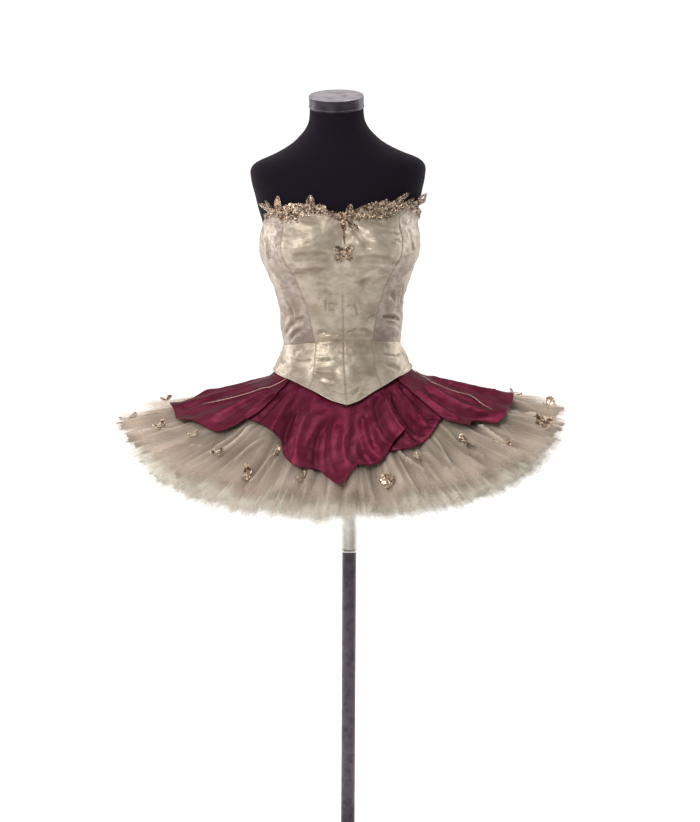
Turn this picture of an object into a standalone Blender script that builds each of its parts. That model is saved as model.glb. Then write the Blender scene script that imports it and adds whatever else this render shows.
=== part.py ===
"""Ballet costume on a limbless dress form: a boned strapless bodice with a pointed basque, a petal overskirt,
five tulle skirts, bead trim, and the form with its neck cap, collar, pole and round base.

Metres, +Z up. The wearer faces -Y, so the wearer's left is +X. The origin is the middle of the base's
underside. Heights in the tables are above the waist seam, and angles are from the centre front towards the
wearer's left.
"""

import functools
import math

import bmesh
import bpy
import numpy as np
from mathutils import Matrix, Vector

# Driving dimensions of the stand
WAIST_HEIGHT = 1.075
BASE_RADIUS = 0.160
BASE_THICKNESS = 0.012
HUB_RADIUS = 0.030
HUB_HEIGHT = 0.034
POLE_RADIUS = 0.0145
COLLAR_RADIUS = 0.0158
COLLAR_FLANGE = 0.034
COLLAR_BOTTOM = WAIST_HEIGHT - 0.436
FORM_LEAN = math.radians(1.6)
FORM_SHIFT = -0.009
LEAN_ROOM = 0.0011
SEAM = 0.0003

# Driving dimensions of the form, above the waist
FORM_BOTTOM = -0.290
NECK_TOP = 0.478
NECK_DEPTH = 0.056
NECK_TILT_FRONT = 0.010
CAP_HEIGHT = 0.024
CAP_TILT = math.radians(9.0)
BUST_HEIGHT = 0.203
BUST_RISE = 0.026
BUST_SPREAD = 0.052
BUST_ANGLE = 29.0
BUST_ARC = 21.0

# Driving dimensions of the cloth
FORM_SLACK = 0.0026
BODICE_EASE = 0.0012
BODICE_CLOTH = 0.0020
PANEL_RADIUS = 0.12
YOKE_EASE = SEAM - FORM_SLACK
YOKE_CLOTH = 0.0012
YOKE_TOP = -0.046
YOKE_BOTTOM = -0.132
YOKE_HEIGHTS = (YOKE_BOTTOM, (YOKE_TOP + YOKE_BOTTOM) / 2, YOKE_TOP)
SATIN_CLOTH = 0.0012
TULLE_CLOTH = 0.0012
SKIRT_LENGTH = 0.412
SKIRT_START = 0.052
SKIRT_BEND = (0.052, 0.072, 0.092)
BASQUE_ROOM = 0.0048
FLUTE_START = 0.065
FLUTES = 16
FLUTE_DEPTH = 0.015
PLY_LIFT = 0.0022
PLY_SPREAD = 0.0145

# Columns: height, half width, front, back, power
BODY = (
    (0.500, 0.0545, 0.0530, 0.0580, 2.1),
    (0.455, 0.0562, 0.0550, 0.0630, 2.1),
    (0.435, 0.0650, 0.0600, 0.0710, 2.1),
    (0.422, 0.0765, 0.0650, 0.0780, 2.1),
    (0.410, 0.0890, 0.0690, 0.0840, 2.2),
    (0.397, 0.1090, 0.0740, 0.0890, 2.2),
    (0.385, 0.1330, 0.0780, 0.0930, 2.3),
    (0.372, 0.1640, 0.0820, 0.0970, 2.4),
    (0.358, 0.1770, 0.0870, 0.1000, 2.5),
    (0.335, 0.1765, 0.0930, 0.1040, 2.5),
    (0.310, 0.1730, 0.0990, 0.1070, 2.4),
    (0.279, 0.1665, 0.1060, 0.1080, 2.3),
    (0.245, 0.1580, 0.1110, 0.1060, 2.2),
    (0.212, 0.1605, 0.1140, 0.1030, 2.2),
    (0.186, 0.1600, 0.1130, 0.1000, 2.2),
    (0.160, 0.1515, 0.1090, 0.0970, 2.2),
    (0.124, 0.1360, 0.1030, 0.0930, 2.2),
    (0.087, 0.1250, 0.0980, 0.0890, 2.2),
    (0.060, 0.1222, 0.0950, 0.0870, 2.2),
    (0.030, 0.1205, 0.0935, 0.0855, 2.2),
    (0.000, 0.1167, 0.0930, 0.0860, 2.2),
    (-0.055, 0.1225, 0.0970, 0.0940, 2.2),
    (-0.100, 0.1370, 0.1030, 0.1080, 2.2),
    (-0.150, 0.1500, 0.1080, 0.1220, 2.3),
    (-0.200, 0.1570, 0.1090, 0.1260, 2.3),
    (-0.250, 0.1550, 0.1040, 0.1180, 2.3),
    (-0.290, 0.1450, 0.0960, 0.1040, 2.3),
)

# Height of the bodice's upper edge, by angle from the centre front
# Columns: angle, height
NECKLINE = (
    (0.0, 0.272),
    (12.0, 0.284),
    (26.0, 0.291),
    (42.0, 0.288),
    (62.0, 0.274),
    (90.0, 0.256),
    (120.0, 0.226),
    (150.0, 0.206),
    (180.0, 0.200),
)
WAIST_RISE = 0.0134

# Angle of each panel's seam by height above the waist, for the front and back princess seams
# Columns: height, front, back
PRINCESS = (
    (-0.120, 24.0, 158.0),
    (0.000, 26.0, 154.0),
    (0.056, 30.5, 152.0),
    (0.100, 35.0, 151.0),
    (0.163, 38.5, 149.0),
    (0.190, 41.0, 148.0),
    (0.300, 42.5, 145.0),
)

# Length of the basque below the waist seam, by angle from the centre front
# Columns: angle, length
BASQUE = (
    (0.0, 0.142),
    (12.0, 0.122),
    (26.0, 0.102),
    (48.0, 0.078),
    (90.0, 0.058),
    (150.0, 0.066),
    (180.0, 0.082),
)

# Droop of each skirt below the horizontal, in degrees, at lengths along it from where it starts
# Columns: along, front, side, back
DROOP = {
    "guide": ((0.000, 86, 84, 84), (0.035, 82, 80, 80), (0.095, 48, 20, 22), (0.412, 29, 10, 12)),
    "tulle_2": ((0.000, 44, 24, 26), (0.335, 35, 16, 17)),
    "tulle_3": ((0.000, 46, 30, 31), (0.316, 37, 22, 23)),
    "tulle_4": ((0.000, 49, 35, 36), (0.297, 40, 27, 28)),
    "tulle_5": ((0.000, 52, 42, 42), (0.268, 43, 34, 34)),
}

# The under skirts: where each is sewn to the yoke, its cut length, and its flutes
# Columns: name, sewn at, length, flutes, depth, turn
UNDER_SKIRTS = (
    ("tulle_2", -0.088, 0.335, 15, 0.0080, 0.4),
    ("tulle_3", -0.099, 0.316, 16, 0.0075, 1.9),
    ("tulle_4", -0.110, 0.297, 15, 0.0075, 3.1),
    ("tulle_5", -0.121, 0.268, 14, 0.0070, 4.6),
)

# The petals: middle, half width in degrees, length to the tip from the waist, and which ply it lies on
# Columns: name, middle, half, length, ply, hem
PETALS = (
    ("petal_front", -3.75, 30.00, 0.378, 2, "pointed"),
    ("petal_front_left", 33.75, 26.25, 0.285, 1, "round"),
    ("petal_left", 75.00, 30.00, 0.298, 2, "round"),
    ("petal_back_left", 120.00, 26.25, 0.290, 1, "round"),
    ("petal_back", 165.00, 30.00, 0.330, 2, "pointed"),
    ("petal_back_right", -146.25, 33.75, 0.290, 1, "round"),
    ("petal_right", -82.50, 33.75, 0.305, 2, "round"),
    ("petal_front_right", -41.25, 26.25, 0.275, 1, "round"),
)

# Outlines of a petal's hem: share of its length by distance from its middle
# Columns: from middle, share
HEMS = {
    "pointed": ((0.00, 1.00), (0.14, 0.885), (0.30, 0.845), (0.50, 0.820), (0.78, 0.730), (1.00, 0.620)),
    "round": ((0.00, 1.00), (0.18, 0.950), (0.45, 0.925), (0.75, 0.870), (1.00, 0.770)),
}

# Trim along the neckline: how far it reaches below and above the bodice's edge, by angle, on each side
# Columns: angle, below, above
TRIMS = {
    "left": (
        (4.0, 0.010, 0.004),
        (12.0, 0.016, 0.006),
        (22.0, 0.014, 0.008),
        (27.0, 0.008, 0.020),
        (33.0, 0.012, 0.006),
        (42.0, 0.008, 0.008),
        (52.0, 0.008, 0.020),
        (57.0, 0.006, 0.032),
        (64.0, 0.008, 0.014),
        (74.0, 0.006, 0.016),
        (84.0, 0.003, 0.018),
    ),
    "right": (
        (4.0, 0.010, 0.004),
        (12.0, 0.016, 0.006),
        (19.0, 0.010, 0.012),
        (24.0, 0.006, 0.029),
        (30.0, 0.008, 0.010),
        (38.0, 0.012, 0.012),
        (48.0, 0.020, 0.006),
        (56.0, 0.010, 0.025),
        (62.0, 0.006, 0.010),
        (70.0, 0.006, 0.014),
        (77.0, 0.003, 0.016),
    ),
}
TRIM_EASE = 0.0012
TRIM_EDGE = 0.0020
TRIM_ROPE = 0.0045
BAND_TOP = 0.262
BAND_FOOT = 0.220
BAND_WIDTH = 0.012
BAND_EASE = 0.0007
BOW_HEIGHT = 0.202
BOW_WIDTH = 0.034
# Columns: from middle, half height
BOW = ((0.0, 0.0060), (0.25, 0.0085), (0.60, 0.0160), (0.85, 0.0150), (1.0, 0.0080))

# Bead ornaments sewn on the top skirt
# Columns: angle, along, size, turn
ORNAMENTS = (
    (-96.0, 0.378, 0.036, 20.0),
    (-75.0, 0.340, 0.026, -35.0),
    (-61.0, 0.312, 0.024, 10.0),
    (-45.0, 0.335, 0.026, 60.0),
    (-33.0, 0.352, 0.034, -30.0),
    (-28.0, 0.285, 0.022, 0.0),
    (-16.0, 0.356, 0.028, 35.0),
    (11.0, 0.345, 0.034, -15.0),
    (23.0, 0.312, 0.024, 45.0),
    (43.0, 0.302, 0.034, 5.0),
    (54.0, 0.336, 0.034, -25.0),
    (69.0, 0.368, 0.036, 15.0),
    (92.0, 0.372, 0.030, -40.0),
    (112.0, 0.330, 0.026, 25.0),
    (131.0, 0.350, 0.026, -10.0),
    (154.0, 0.372, 0.024, 50.0),
    (178.0, 0.368, 0.032, -20.0),
    (-158.0, 0.340, 0.026, 15.0),
    (-136.0, 0.372, 0.032, -45.0),
    (-116.0, 0.345, 0.026, 30.0),
)
ORNAMENT_EASE = 0.00107
ORNAMENT_EDGE = 0.0016
ORNAMENT_CROWN = 0.0045

STEP = 3.75
TOP_ROWS = 4


def smooth(value):
    """A soft step from 0 to 1."""
    inside = min(max(value, 0.0), 1.0)
    return inside * inside * (3.0 - 2.0 * inside)


def along_table(rows, at):
    """Every column of a table but the first, read at a value of the first, on a smooth curve."""
    rows = sorted(rows)
    keys = [row[0] for row in rows]
    at = min(max(at, keys[0]), keys[-1])
    low = min(max(np.searchsorted(keys, at, side="right") - 1, 0), len(keys) - 2)
    span = keys[low + 1] - keys[low]
    share = (at - keys[low]) / span
    found = []
    for column in range(1, len(rows[0])):
        values = [row[column] for row in rows]
        slopes = []
        for spot in (low, low + 1):
            before, after = max(spot - 1, 0), min(spot + 1, len(keys) - 1)
            slopes.append((values[after] - values[before]) / (keys[after] - keys[before]) * span)
        square, cube = share**2, share**3
        found.append(
            (2 * cube - 3 * square + 1) * values[low]
            + (cube - 2 * square + share) * slopes[0]
            + (3 * square - 2 * cube) * values[low + 1]
            + (cube - square) * slopes[1]
        )
    return found


@functools.lru_cache(maxsize=None)
def section(height):
    return along_table(BODY, height)


def ring_point(angle, height):
    """A point of the body's level section, with no bust."""
    half_width, front, back, power = section(round(height, 6))
    turn = math.radians(angle)
    across, ahead = math.sin(turn), math.cos(turn)
    depth = front if ahead > 0 else back
    x = math.copysign(abs(across) ** (2.0 / power), across) * half_width
    y = -math.copysign(abs(ahead) ** (2.0 / power), ahead) * depth
    return Vector((x, y, height))


def bust(angle, height):
    """How far the cups stand out from the section."""
    level = math.exp(-(((height - BUST_HEIGHT) / BUST_SPREAD) ** 2))
    around = math.exp(-(((abs(wrapped(angle)) - BUST_ANGLE) / BUST_ARC) ** 2))
    return BUST_RISE * level * around


def wrapped(angle):
    return (angle + 180.0) % 360.0 - 180.0


def body_point(angle, height, out=0.0):
    """A point of the body's surface, moved out level by a distance."""
    here = ring_point(angle, height)
    ahead = ring_point(angle + 0.5, height) - ring_point(angle - 0.5, height)
    outward = Vector((-ahead.y, ahead.x, 0.0)).normalized()
    if outward.dot(here) < 0:
        outward.negate()
    return here + outward * (out + bust(angle, height))


def angle_at(across, height):
    """The angle at which the section is a given distance to the wearer's left of the centre front."""
    half_width, _, _, power = section(height)
    return math.copysign(math.degrees(math.asin((abs(across) / half_width) ** (power / 2))), across)


def waist_rise(angle):
    """The waist seam arches up towards the centre front."""
    return WAIST_RISE * max(math.cos(math.radians(angle)), 0.0) ** 2


def neckline(angle):
    return along_table(NECKLINE, abs(wrapped(angle)))[0]


def basque_length(angle):
    return along_table(BASQUE, abs(wrapped(angle)))[0]


def princess(height, which):
    return along_table(PRINCESS, height)[which]


def flute(angle, count, turn):
    """The height of the flutes round a skirt, from -1 to 1, unevenly spaced and of uneven depth."""
    turning = math.radians(angle)
    uneven = 0.9 * math.sin(3 * turning + 0.5 + turn) + 0.5 * math.sin(5 * turning + 2.0 * turn)
    return math.cos(count * turning + uneven) * (0.80 + 0.20 * math.sin(2 * turning + 1.0 + turn))


@functools.lru_cache(maxsize=None)
def profile(skirt, angle):
    """Distances along a skirt, with its reach outward, its height and its droop there, at one angle."""
    rows = DROOP[skirt]
    ahead = math.cos(math.radians(angle))
    to_front, to_back = max(ahead, 0.0) ** 1.5, max(-ahead, 0.0) ** 1.5
    along = np.linspace(0.0, rows[-1][0] + 0.03, 90)
    keys = [row[0] for row in rows]
    front, side, back = (np.interp(along, keys, [row[column] for row in rows]) for column in (1, 2, 3))
    droop = np.radians(side + (front - side) * to_front + (back - side) * to_back)
    middle = (droop[1:] + droop[:-1]) / 2
    step = along[1]
    reach = np.concatenate([[0.0], np.cumsum(np.cos(middle)) * step])
    drop = np.concatenate([[0.0], -np.cumsum(np.sin(middle)) * step])
    return along, reach, drop, droop


def skirt_point(skirt, angle, along, start, lift):
    """A point of a skirt: its start on the body, then out along its profile, and up from it by a lift."""
    turn = math.radians(angle)
    outward = Vector((math.sin(turn), -math.cos(turn), 0.0))
    lengths, reach, drop, droop = profile(skirt, round(wrapped(angle), 4))
    out = float(np.interp(along, lengths, reach))
    down = float(np.interp(along, lengths, drop))
    tilt = float(np.interp(along, lengths, droop))
    return start + outward * (out + math.sin(tilt) * lift) + Vector((0, 0, down + math.cos(tilt) * lift))


def guide_point(angle, along, lift):
    """The top skirt's fluted surface, which the petals and the basque follow at a lift of their own."""
    start = body_point(angle, waist_rise(angle), BODICE_EASE + BODICE_CLOTH)
    grown = max(along - FLUTE_START, 0.0) / (SKIRT_LENGTH - FLUTE_START)
    waves = FLUTE_DEPTH * grown**1.3 * flute(angle, FLUTES, 0.0)
    return skirt_point("guide", angle, along, start, lift + waves)


def top_length(angle):
    """The top skirt's hem is a little uneven."""
    turn = math.radians(angle)
    return SKIRT_LENGTH + 0.005 * math.sin(7 * turn + 1.0) + 0.004 * math.sin(11 * turn)


def under_point(row, angle, share, lift):
    name, sewn_at, length, flutes, depth, turn = row
    start = body_point(angle, sewn_at, YOKE_EASE + YOKE_CLOTH + SEAM)
    waves = depth * share**1.2 * flute(angle, flutes, turn)
    return skirt_point(name, angle, length * share, start, lift + waves)


def material(name, colour, roughness, metallic=0.0):
    made = bpy.data.materials.new(name)
    made.use_nodes = True
    shader = made.node_tree.nodes["Principled BSDF"]
    shader.inputs["Base Color"].default_value = (*colour, 1.0)
    shader.inputs["Roughness"].default_value = roughness
    shader.inputs["Metallic"].default_value = metallic
    made.diffuse_color = (*colour, 1.0)
    return made


def add_object(name, points, faces, finish, parent=None):
    """A mesh object, facing out. With a parent, its points are in the form's own frame, above the waist."""
    mesh = bpy.data.meshes.new(name)
    mesh.from_pydata([tuple(point) for point in points], [], faces)
    work = bmesh.new()
    work.from_mesh(mesh)
    bmesh.ops.recalc_face_normals(work, faces=work.faces)
    if work.calc_volume(signed=True) < 0:
        bmesh.ops.reverse_faces(work, faces=work.faces)
    work.to_mesh(mesh)
    work.free()
    mesh.shade_smooth()
    mesh.set_sharp_from_angle(angle=math.radians(50))
    mesh.materials.append(finish)
    made = bpy.data.objects.new(name, mesh)
    bpy.context.scene.collection.objects.link(made)
    made.parent = parent
    return made


def cloth_wall(name, outer, inner, finish, parent, closed):
    """A wall of cloth between two grids of points, in rows from edge to edge. Closed rows run right round."""
    rows, columns = len(outer), len(outer[0])
    points = [point for grid in (outer, inner) for row in grid for point in row]

    def spot(side, row, column):
        return (side * rows + row) * columns + column % columns

    faces = []
    for row in range(rows - 1):
        for column in range(columns if closed else columns - 1):
            for side in (0, 1):
                corners = [(row, column), (row, column + 1), (row + 1, column + 1), (row + 1, column)]
                faces.append([spot(side, *corner) for corner in (corners[::-1] if side else corners)])
    for column in range(columns if closed else columns - 1):
        for row in (0, rows - 1):
            corners = ((0, column), (1, column), (1, column + 1), (0, column + 1))
            faces.append([spot(side, row, beside) for side, beside in corners])
    if not closed:
        for row in range(rows - 1):
            for column in (0, columns - 1):
                corners = ((0, row), (0, row + 1), (1, row + 1), (1, row))
                faces.append([spot(side, beside, column) for side, beside in corners])
    return add_object(name, points, faces, finish, parent)


def turned(name, profile_points, sides, finish, parent=None):
    """A solid of revolution about Z from points (radius, height), bottom to top, closed on the axis."""
    points, faces = [], []
    for radius, height in profile_points:
        for side in range(sides):
            turn = 2 * math.pi * side / sides
            points.append((radius * math.cos(turn), radius * math.sin(turn), height))
    for level in range(len(profile_points) - 1):
        for side in range(sides):
            beside = (side + 1) % sides
            low, high = level * sides, (level + 1) * sides
            faces.append([low + side, low + beside, high + beside, high + side])
    faces.append(list(range(sides)))
    faces.append([(len(profile_points) - 1) * sides + side for side in range(sides)])
    return add_object(name, points, faces, finish, parent)


def build_stand():
    """Round base with a hub, pole, and the collar that takes the form."""
    iron = material("base_enamel", (0.030, 0.026, 0.032), 0.45, 0.3)
    steel = material("pole_enamel", (0.075, 0.060, 0.078), 0.40, 0.4)
    chrome = material("collar_chrome", (0.72, 0.70, 0.70), 0.18, 1.0)
    hub_foot = BASE_THICKNESS + 0.004
    base = (
        (BASE_RADIUS - 0.002, 0.0),
        (BASE_RADIUS, 0.002),
        (BASE_RADIUS, BASE_THICKNESS - 0.003),
        (BASE_RADIUS - 0.005, BASE_THICKNESS),
        (HUB_RADIUS + 0.006, hub_foot),
        (HUB_RADIUS, hub_foot + 0.004),
        (HUB_RADIUS - 0.003, HUB_HEIGHT),
    )
    turned("base", base, 32, iron)
    pole_top = COLLAR_BOTTOM - SEAM
    turned("pole", ((POLE_RADIUS, HUB_HEIGHT + SEAM), (POLE_RADIUS, pole_top)), 16, steel)
    collar_top = WAIST_HEIGHT + FORM_BOTTOM - LEAN_ROOM
    collar = (
        (COLLAR_RADIUS, COLLAR_BOTTOM),
        (COLLAR_RADIUS, collar_top - 0.008),
        (COLLAR_FLANGE, collar_top - 0.005),
        (COLLAR_FLANGE, collar_top),
    )
    turned("collar", collar, 16, chrome)


def build_form(form):
    """The torso, a closed smooth body, and the tilted neck cap."""
    skin = material("form_jersey", (0.021, 0.012, 0.023), 0.75)
    pewter = material("cap_pewter", (0.36, 0.32, 0.35), 0.42, 0.7)
    heights = [FORM_BOTTOM, -0.280, -0.24, -0.18, *YOKE_HEIGHTS, 0.0, 0.05, 0.09, 0.125]
    heights += [0.15, 0.17, 0.187, 0.203, 0.219, 0.236, 0.256, 0.28, 0.31]
    heights += [0.34, 0.358, 0.367, 0.376, 0.386, 0.397, 0.410, 0.425, 0.442, NECK_TOP]
    pulled_in = {FORM_BOTTOM: 0.030, -0.280: 0.008}
    sides = 36
    rings = []
    for height in heights:
        slack = FORM_SLACK * (1.0 - smooth((height - 0.30) / 0.04))
        inward = pulled_in.get(height, slack)
        ring = [body_point(360.0 * side / sides, height, -inward) for side in range(sides)]
        if height == NECK_TOP:
            ring = [point + Vector((0, 0, NECK_TILT_FRONT * point.y / NECK_DEPTH)) for point in ring]
        rings.append(ring)
    points = [point for ring in rings for point in ring]
    faces = []
    for level in range(len(rings) - 1):
        for side in range(sides):
            beside = (side + 1) % sides
            low, high = level * sides, (level + 1) * sides
            faces.append([low + side, low + beside, high + beside, high + side])
    faces.append(list(range(sides)))
    faces.append([(len(rings) - 1) * sides + side for side in range(sides)])
    add_object("form_torso", points, faces, skin, form)

    neck = [body_point(360.0 * side / sides, NECK_TOP, 0.0) for side in range(sides)]
    middle = sum(neck, Vector()) / sides
    low_tilt = NECK_TILT_FRONT / NECK_DEPTH
    levels = ((0.0, 0.0008), (0.002, 0.0018), (CAP_HEIGHT - 0.002, 0.0010), (CAP_HEIGHT, -0.0010))
    points = []
    for rise, wider in levels:
        tilt = low_tilt + (math.tan(CAP_TILT) - low_tilt) * rise / CAP_HEIGHT
        for point in neck:
            flat = point - middle
            flat += flat.normalized() * wider
            points.append(middle + flat + Vector((0, 0, SEAM + rise + tilt * point.y)))
    faces = []
    for level in range(len(levels) - 1):
        for side in range(sides):
            beside = (side + 1) % sides
            low, high = level * sides, (level + 1) * sides
            faces.append([low + side, low + beside, high + beside, high + side])
    faces.append(list(range(sides)))
    faces.append([(len(levels) - 1) * sides + side for side in range(sides)])
    add_object("neck_cap", points, faces, pewter, form)


def panel_angles(height, seams):
    """The angles of a panel's two seams at a height, by the names of the seams."""
    known = {
        "centre": 0.0,
        "front": princess(height, 0),
        "side": 90.0,
        "back": princess(height, 1),
        "middle_back": 180.0,
    }
    return known[seams[0]], known[seams[1]]


PANELS = (
    ("centre_front", "centre", "front", 5),
    ("side_front", "front", "side", 6),
    ("side_back", "side", "back", 6),
    ("back", "back", "middle_back", 4),
)


def edge_gap(column, columns):
    """Half a seam's gap, as an angle, in from a panel's first and last column."""
    return math.degrees(SEAM / 2 / PANEL_RADIUS) * ((column == 0) - (column == columns))


def upper_grid(seams, columns, rows, side, out):
    """Points of a bodice panel above the waist seam, half a seam's gap in from each edge."""
    grid = []
    for row in range(rows + 1):
        line = []
        for column in range(columns + 1):
            height = 0.12
            for _ in range(6):
                low, high = panel_angles(height, seams)
                angle = low + (high - low) * column / columns
                top, bottom = neckline(angle), waist_rise(angle) + SEAM / 2
                height = bottom + (top - bottom) * (row / rows) ** 0.8
            line.append(body_point(side * (angle + edge_gap(column, columns)), height, out))
        grid.append(line)
    return grid


def basque_lift(along):
    """The basque stands clear of the petals that come out under it."""
    return (petal_lift(2, along) + BASQUE_ROOM) * smooth(along / 0.045)


def basque_grid(seams, columns, rows, side, out):
    """Points of a basque panel, from the waist seam down to its edge, on the guide's surface."""
    grid = []
    for row in range(rows + 1):
        line = []
        for column in range(columns + 1):
            along = 0.05
            for _ in range(6):
                low, high = panel_angles(-along, seams)
                angle = low + (high - low) * column / columns
                along = SEAM / 2 + (basque_length(angle) - SEAM / 2) * row / rows
            spot = side * (angle + edge_gap(column, columns))
            line.append(guide_point(spot, along, basque_lift(along) + out))
        grid.append(line)
    return grid


def build_bodice(form):
    """Eight panels above the waist seam and eight below."""
    satin = material("champagne_satin", (0.50, 0.42, 0.34), 0.42)
    for side, side_name in ((1, "left"), (-1, "right")):
        for name, first, second, columns in PANELS:
            seams = (first, second)
            inner = upper_grid(seams, columns, 9, side, BODICE_EASE)
            outer = upper_grid(seams, columns, 9, side, BODICE_EASE + BODICE_CLOTH)
            cloth_wall(f"bodice_{name}_{side_name}", outer, inner, satin, form, False)
            inner = basque_grid(seams, columns, 5, side, -BODICE_CLOTH)
            outer = basque_grid(seams, columns, 5, side, 0.0)
            cloth_wall(f"basque_{name}_{side_name}", outer, inner, satin, form, False)


def build_yoke(form):
    """The plain band that the skirts are sewn to."""
    cotton = material("yoke_cotton", (0.44, 0.36, 0.30), 0.85)
    angles = [10.0 * side for side in range(36)]
    inner, outer = (
        [[body_point(angle, height, out) for angle in angles] for height in YOKE_HEIGHTS]
        for out in (YOKE_EASE, YOKE_EASE + YOKE_CLOTH)
    )
    cloth_wall("hip_yoke", outer, inner, cotton, form, True)


def build_petals(form):
    """Eight petals of satin, in two plies that overlap."""
    satin = material("burgundy_satin", (0.16, 0.030, 0.055), 0.38)
    for name, middle, half, length, ply, outline in PETALS:
        columns = round(2 * half / STEP)
        grids = {}
        for side, shift in (("outer", SATIN_CLOTH / 2), ("inner", -SATIN_CLOTH / 2)):
            lines = []
            for column in range(columns + 1):
                from_middle = 2 * column / columns - 1
                angle = middle + half * from_middle
                hem = length * along_table(HEMS[outline], abs(from_middle))[0]
                rows = skirt_rows(hem, 3)
                lines.append([guide_point(angle, along, petal_lift(ply, along) + shift) for along in rows])
            grids[side] = [list(row) for row in zip(*lines)]
        cloth_wall(name, grids["outer"], grids["inner"], satin, form, False)


def skirt_rows(hem, count):
    """Lengths of the rows of a skirt's grid: close together under the basque, then even to the hem."""
    bend = SKIRT_BEND[-1]
    return list(SKIRT_BEND) + [bend + (hem - bend) * (row + 1) / count for row in range(count)]


def top_column(angle, shift):
    """The top skirt's points from the waist to the hem at one angle."""
    return [guide_point(angle, along, shift) for along in skirt_rows(top_length(angle), TOP_ROWS)]


def net_point(angle, along, lift):
    """A point over the top skirt's own facets, between the columns of its grid."""
    low = math.floor(angle / STEP) * STEP
    share = (angle - low) / STEP
    sides = []
    for column in (low, low + STEP):
        rows = skirt_rows(top_length(column), TOP_ROWS)
        points = top_column(column, lift)
        spot = min(max(int(np.searchsorted(rows, along)) - 1, 0), len(rows) - 2)
        part = (along - rows[spot]) / (rows[spot + 1] - rows[spot])
        sides.append(points[spot].lerp(points[spot + 1], part))
    return sides[0].lerp(sides[1], share)


def petal_lift(ply, along):
    """How far a petal's ply lies above the top skirt."""
    return ply * (PLY_LIFT + PLY_SPREAD * max(along - SKIRT_START, 0.0))


def build_skirts(form):
    """The fluted top skirt and the four shorter ones under it."""
    net = material("taupe_tulle", (0.46, 0.38, 0.32), 0.9)
    pale = material("pale_tulle", (0.66, 0.56, 0.50), 0.9)
    angles = [STEP * column for column in range(round(360 / STEP))]
    grids = []
    for shift in (TULLE_CLOTH / 2, -TULLE_CLOTH / 2):
        lines = [top_column(angle, shift) for angle in angles]
        grids.append([list(row) for row in zip(*lines)])
    cloth_wall("tulle_1", *grids, net, form, True)
    for row_values in UNDER_SKIRTS:
        columns = row_values[3] * 4
        angles = [360.0 * column / columns for column in range(columns)]
        rows = 2
        grids = []
        for shift in (TULLE_CLOTH / 2, -TULLE_CLOTH / 2):
            grid = []
            for row in range(rows + 1):
                share = 0.006 + 0.994 * row / rows
                grid.append([under_point(row_values, angle, share, shift) for angle in angles])
            grids.append(grid)
        cloth_wall(row_values[0], *grids, pale, form, True)


def build_trim(form):
    """Bead trim along the neckline, the band that hangs from its middle, and the bow at the band's foot."""
    bullion = material("gold_bullion", (0.33, 0.25, 0.15), 0.35, 0.8)
    base = BODICE_EASE + BODICE_CLOTH + TRIM_EASE
    for side, side_name in ((1, "left"), (-1, "right")):
        rows = TRIMS[side_name]
        inner, outer = [[], [], []], [[], [], []]
        columns = 30
        for column in range(columns + 1):
            angle = rows[0][0] + (rows[-1][0] - rows[0][0]) * column / columns
            below, above = along_table(rows, angle)
            for row, (reach, thick) in enumerate(((-below, TRIM_EDGE), (0.0, TRIM_ROPE), (above, TRIM_EDGE))):
                height = neckline(angle) + reach
                inner[row].append(body_point(side * angle, height, base))
                outer[row].append(body_point(side * angle, height, base + thick))
        cloth_wall(f"neck_trim_{side_name}", outer, inner, bullion, form, False)

    band_base = BODICE_EASE + BODICE_CLOTH + BAND_EASE
    heights = [BAND_FOOT + (BAND_TOP - BAND_FOOT) * row / 3 for row in range(4)]
    grids = [[], []]
    for height in heights:
        angles = [angle_at(BAND_WIDTH / 2 * spot, height) for spot in (-1, 0, 1)]
        for grid, outs in zip(grids, ((0.0, 0.0, 0.0), (TRIM_EDGE, TRIM_ROPE, TRIM_EDGE))):
            grid.append([body_point(angle, height, band_base + out) for angle, out in zip(angles, outs)])
    cloth_wall("centre_band", grids[1], grids[0], bullion, form, False)

    inner, outer = [[], [], []], [[], [], []]
    for column in range(-5, 6):
        across = column / 5
        tall = along_table(BOW, abs(across))[0]
        for row, level in enumerate((-1, 0, 1)):
            height = BOW_HEIGHT + level * tall
            angle = angle_at(BOW_WIDTH / 2 * across, height)
            thick = TRIM_EDGE if level else TRIM_ROPE
            inner[row].append(body_point(angle, height, base))
            outer[row].append(body_point(angle, height, base + thick))
    cloth_wall("bow", outer, inner, bullion, form, False)


def build_ornaments(form):
    """Bead ornaments, each a small winged plate with a raised crown, on the top skirt's own facets."""
    gilt = material("gilt_beads", (0.42, 0.31, 0.15), 0.30, 0.85)
    outline = ((-1.0, 0.25), (-0.5, 0.75), (0.0, 0.50), (0.5, 0.80), (1.0, 0.30))
    for number, (angle, along, size, turn) in enumerate(ORNAMENTS, 1):
        middle = guide_point(angle, along, 0.0)
        radius = math.hypot(middle.x, middle.y)
        cosine, sine = math.cos(math.radians(turn)), math.sin(math.radians(turn))
        inner, outer = [], []
        for length, width in outline:
            low_line, high_line = [], []
            for across in (-1.0, 0.0, 1.0):
                u, v = across * width * size / 2, length * size / 2
                spot_angle = angle + math.degrees((u * cosine - v * sine) / radius)
                spot_along = along + u * sine + v * cosine
                lift = TULLE_CLOTH / 2 + ORNAMENT_EASE
                thick = ORNAMENT_EDGE if across or abs(length) == 1.0 else ORNAMENT_CROWN
                low_line.append(net_point(spot_angle, spot_along, lift))
                high_line.append(net_point(spot_angle, spot_along, lift + thick))
            inner.append(low_line)
            outer.append(high_line)
        cloth_wall(f"ornament_{number:02d}", outer, inner, gilt, form, False)


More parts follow.
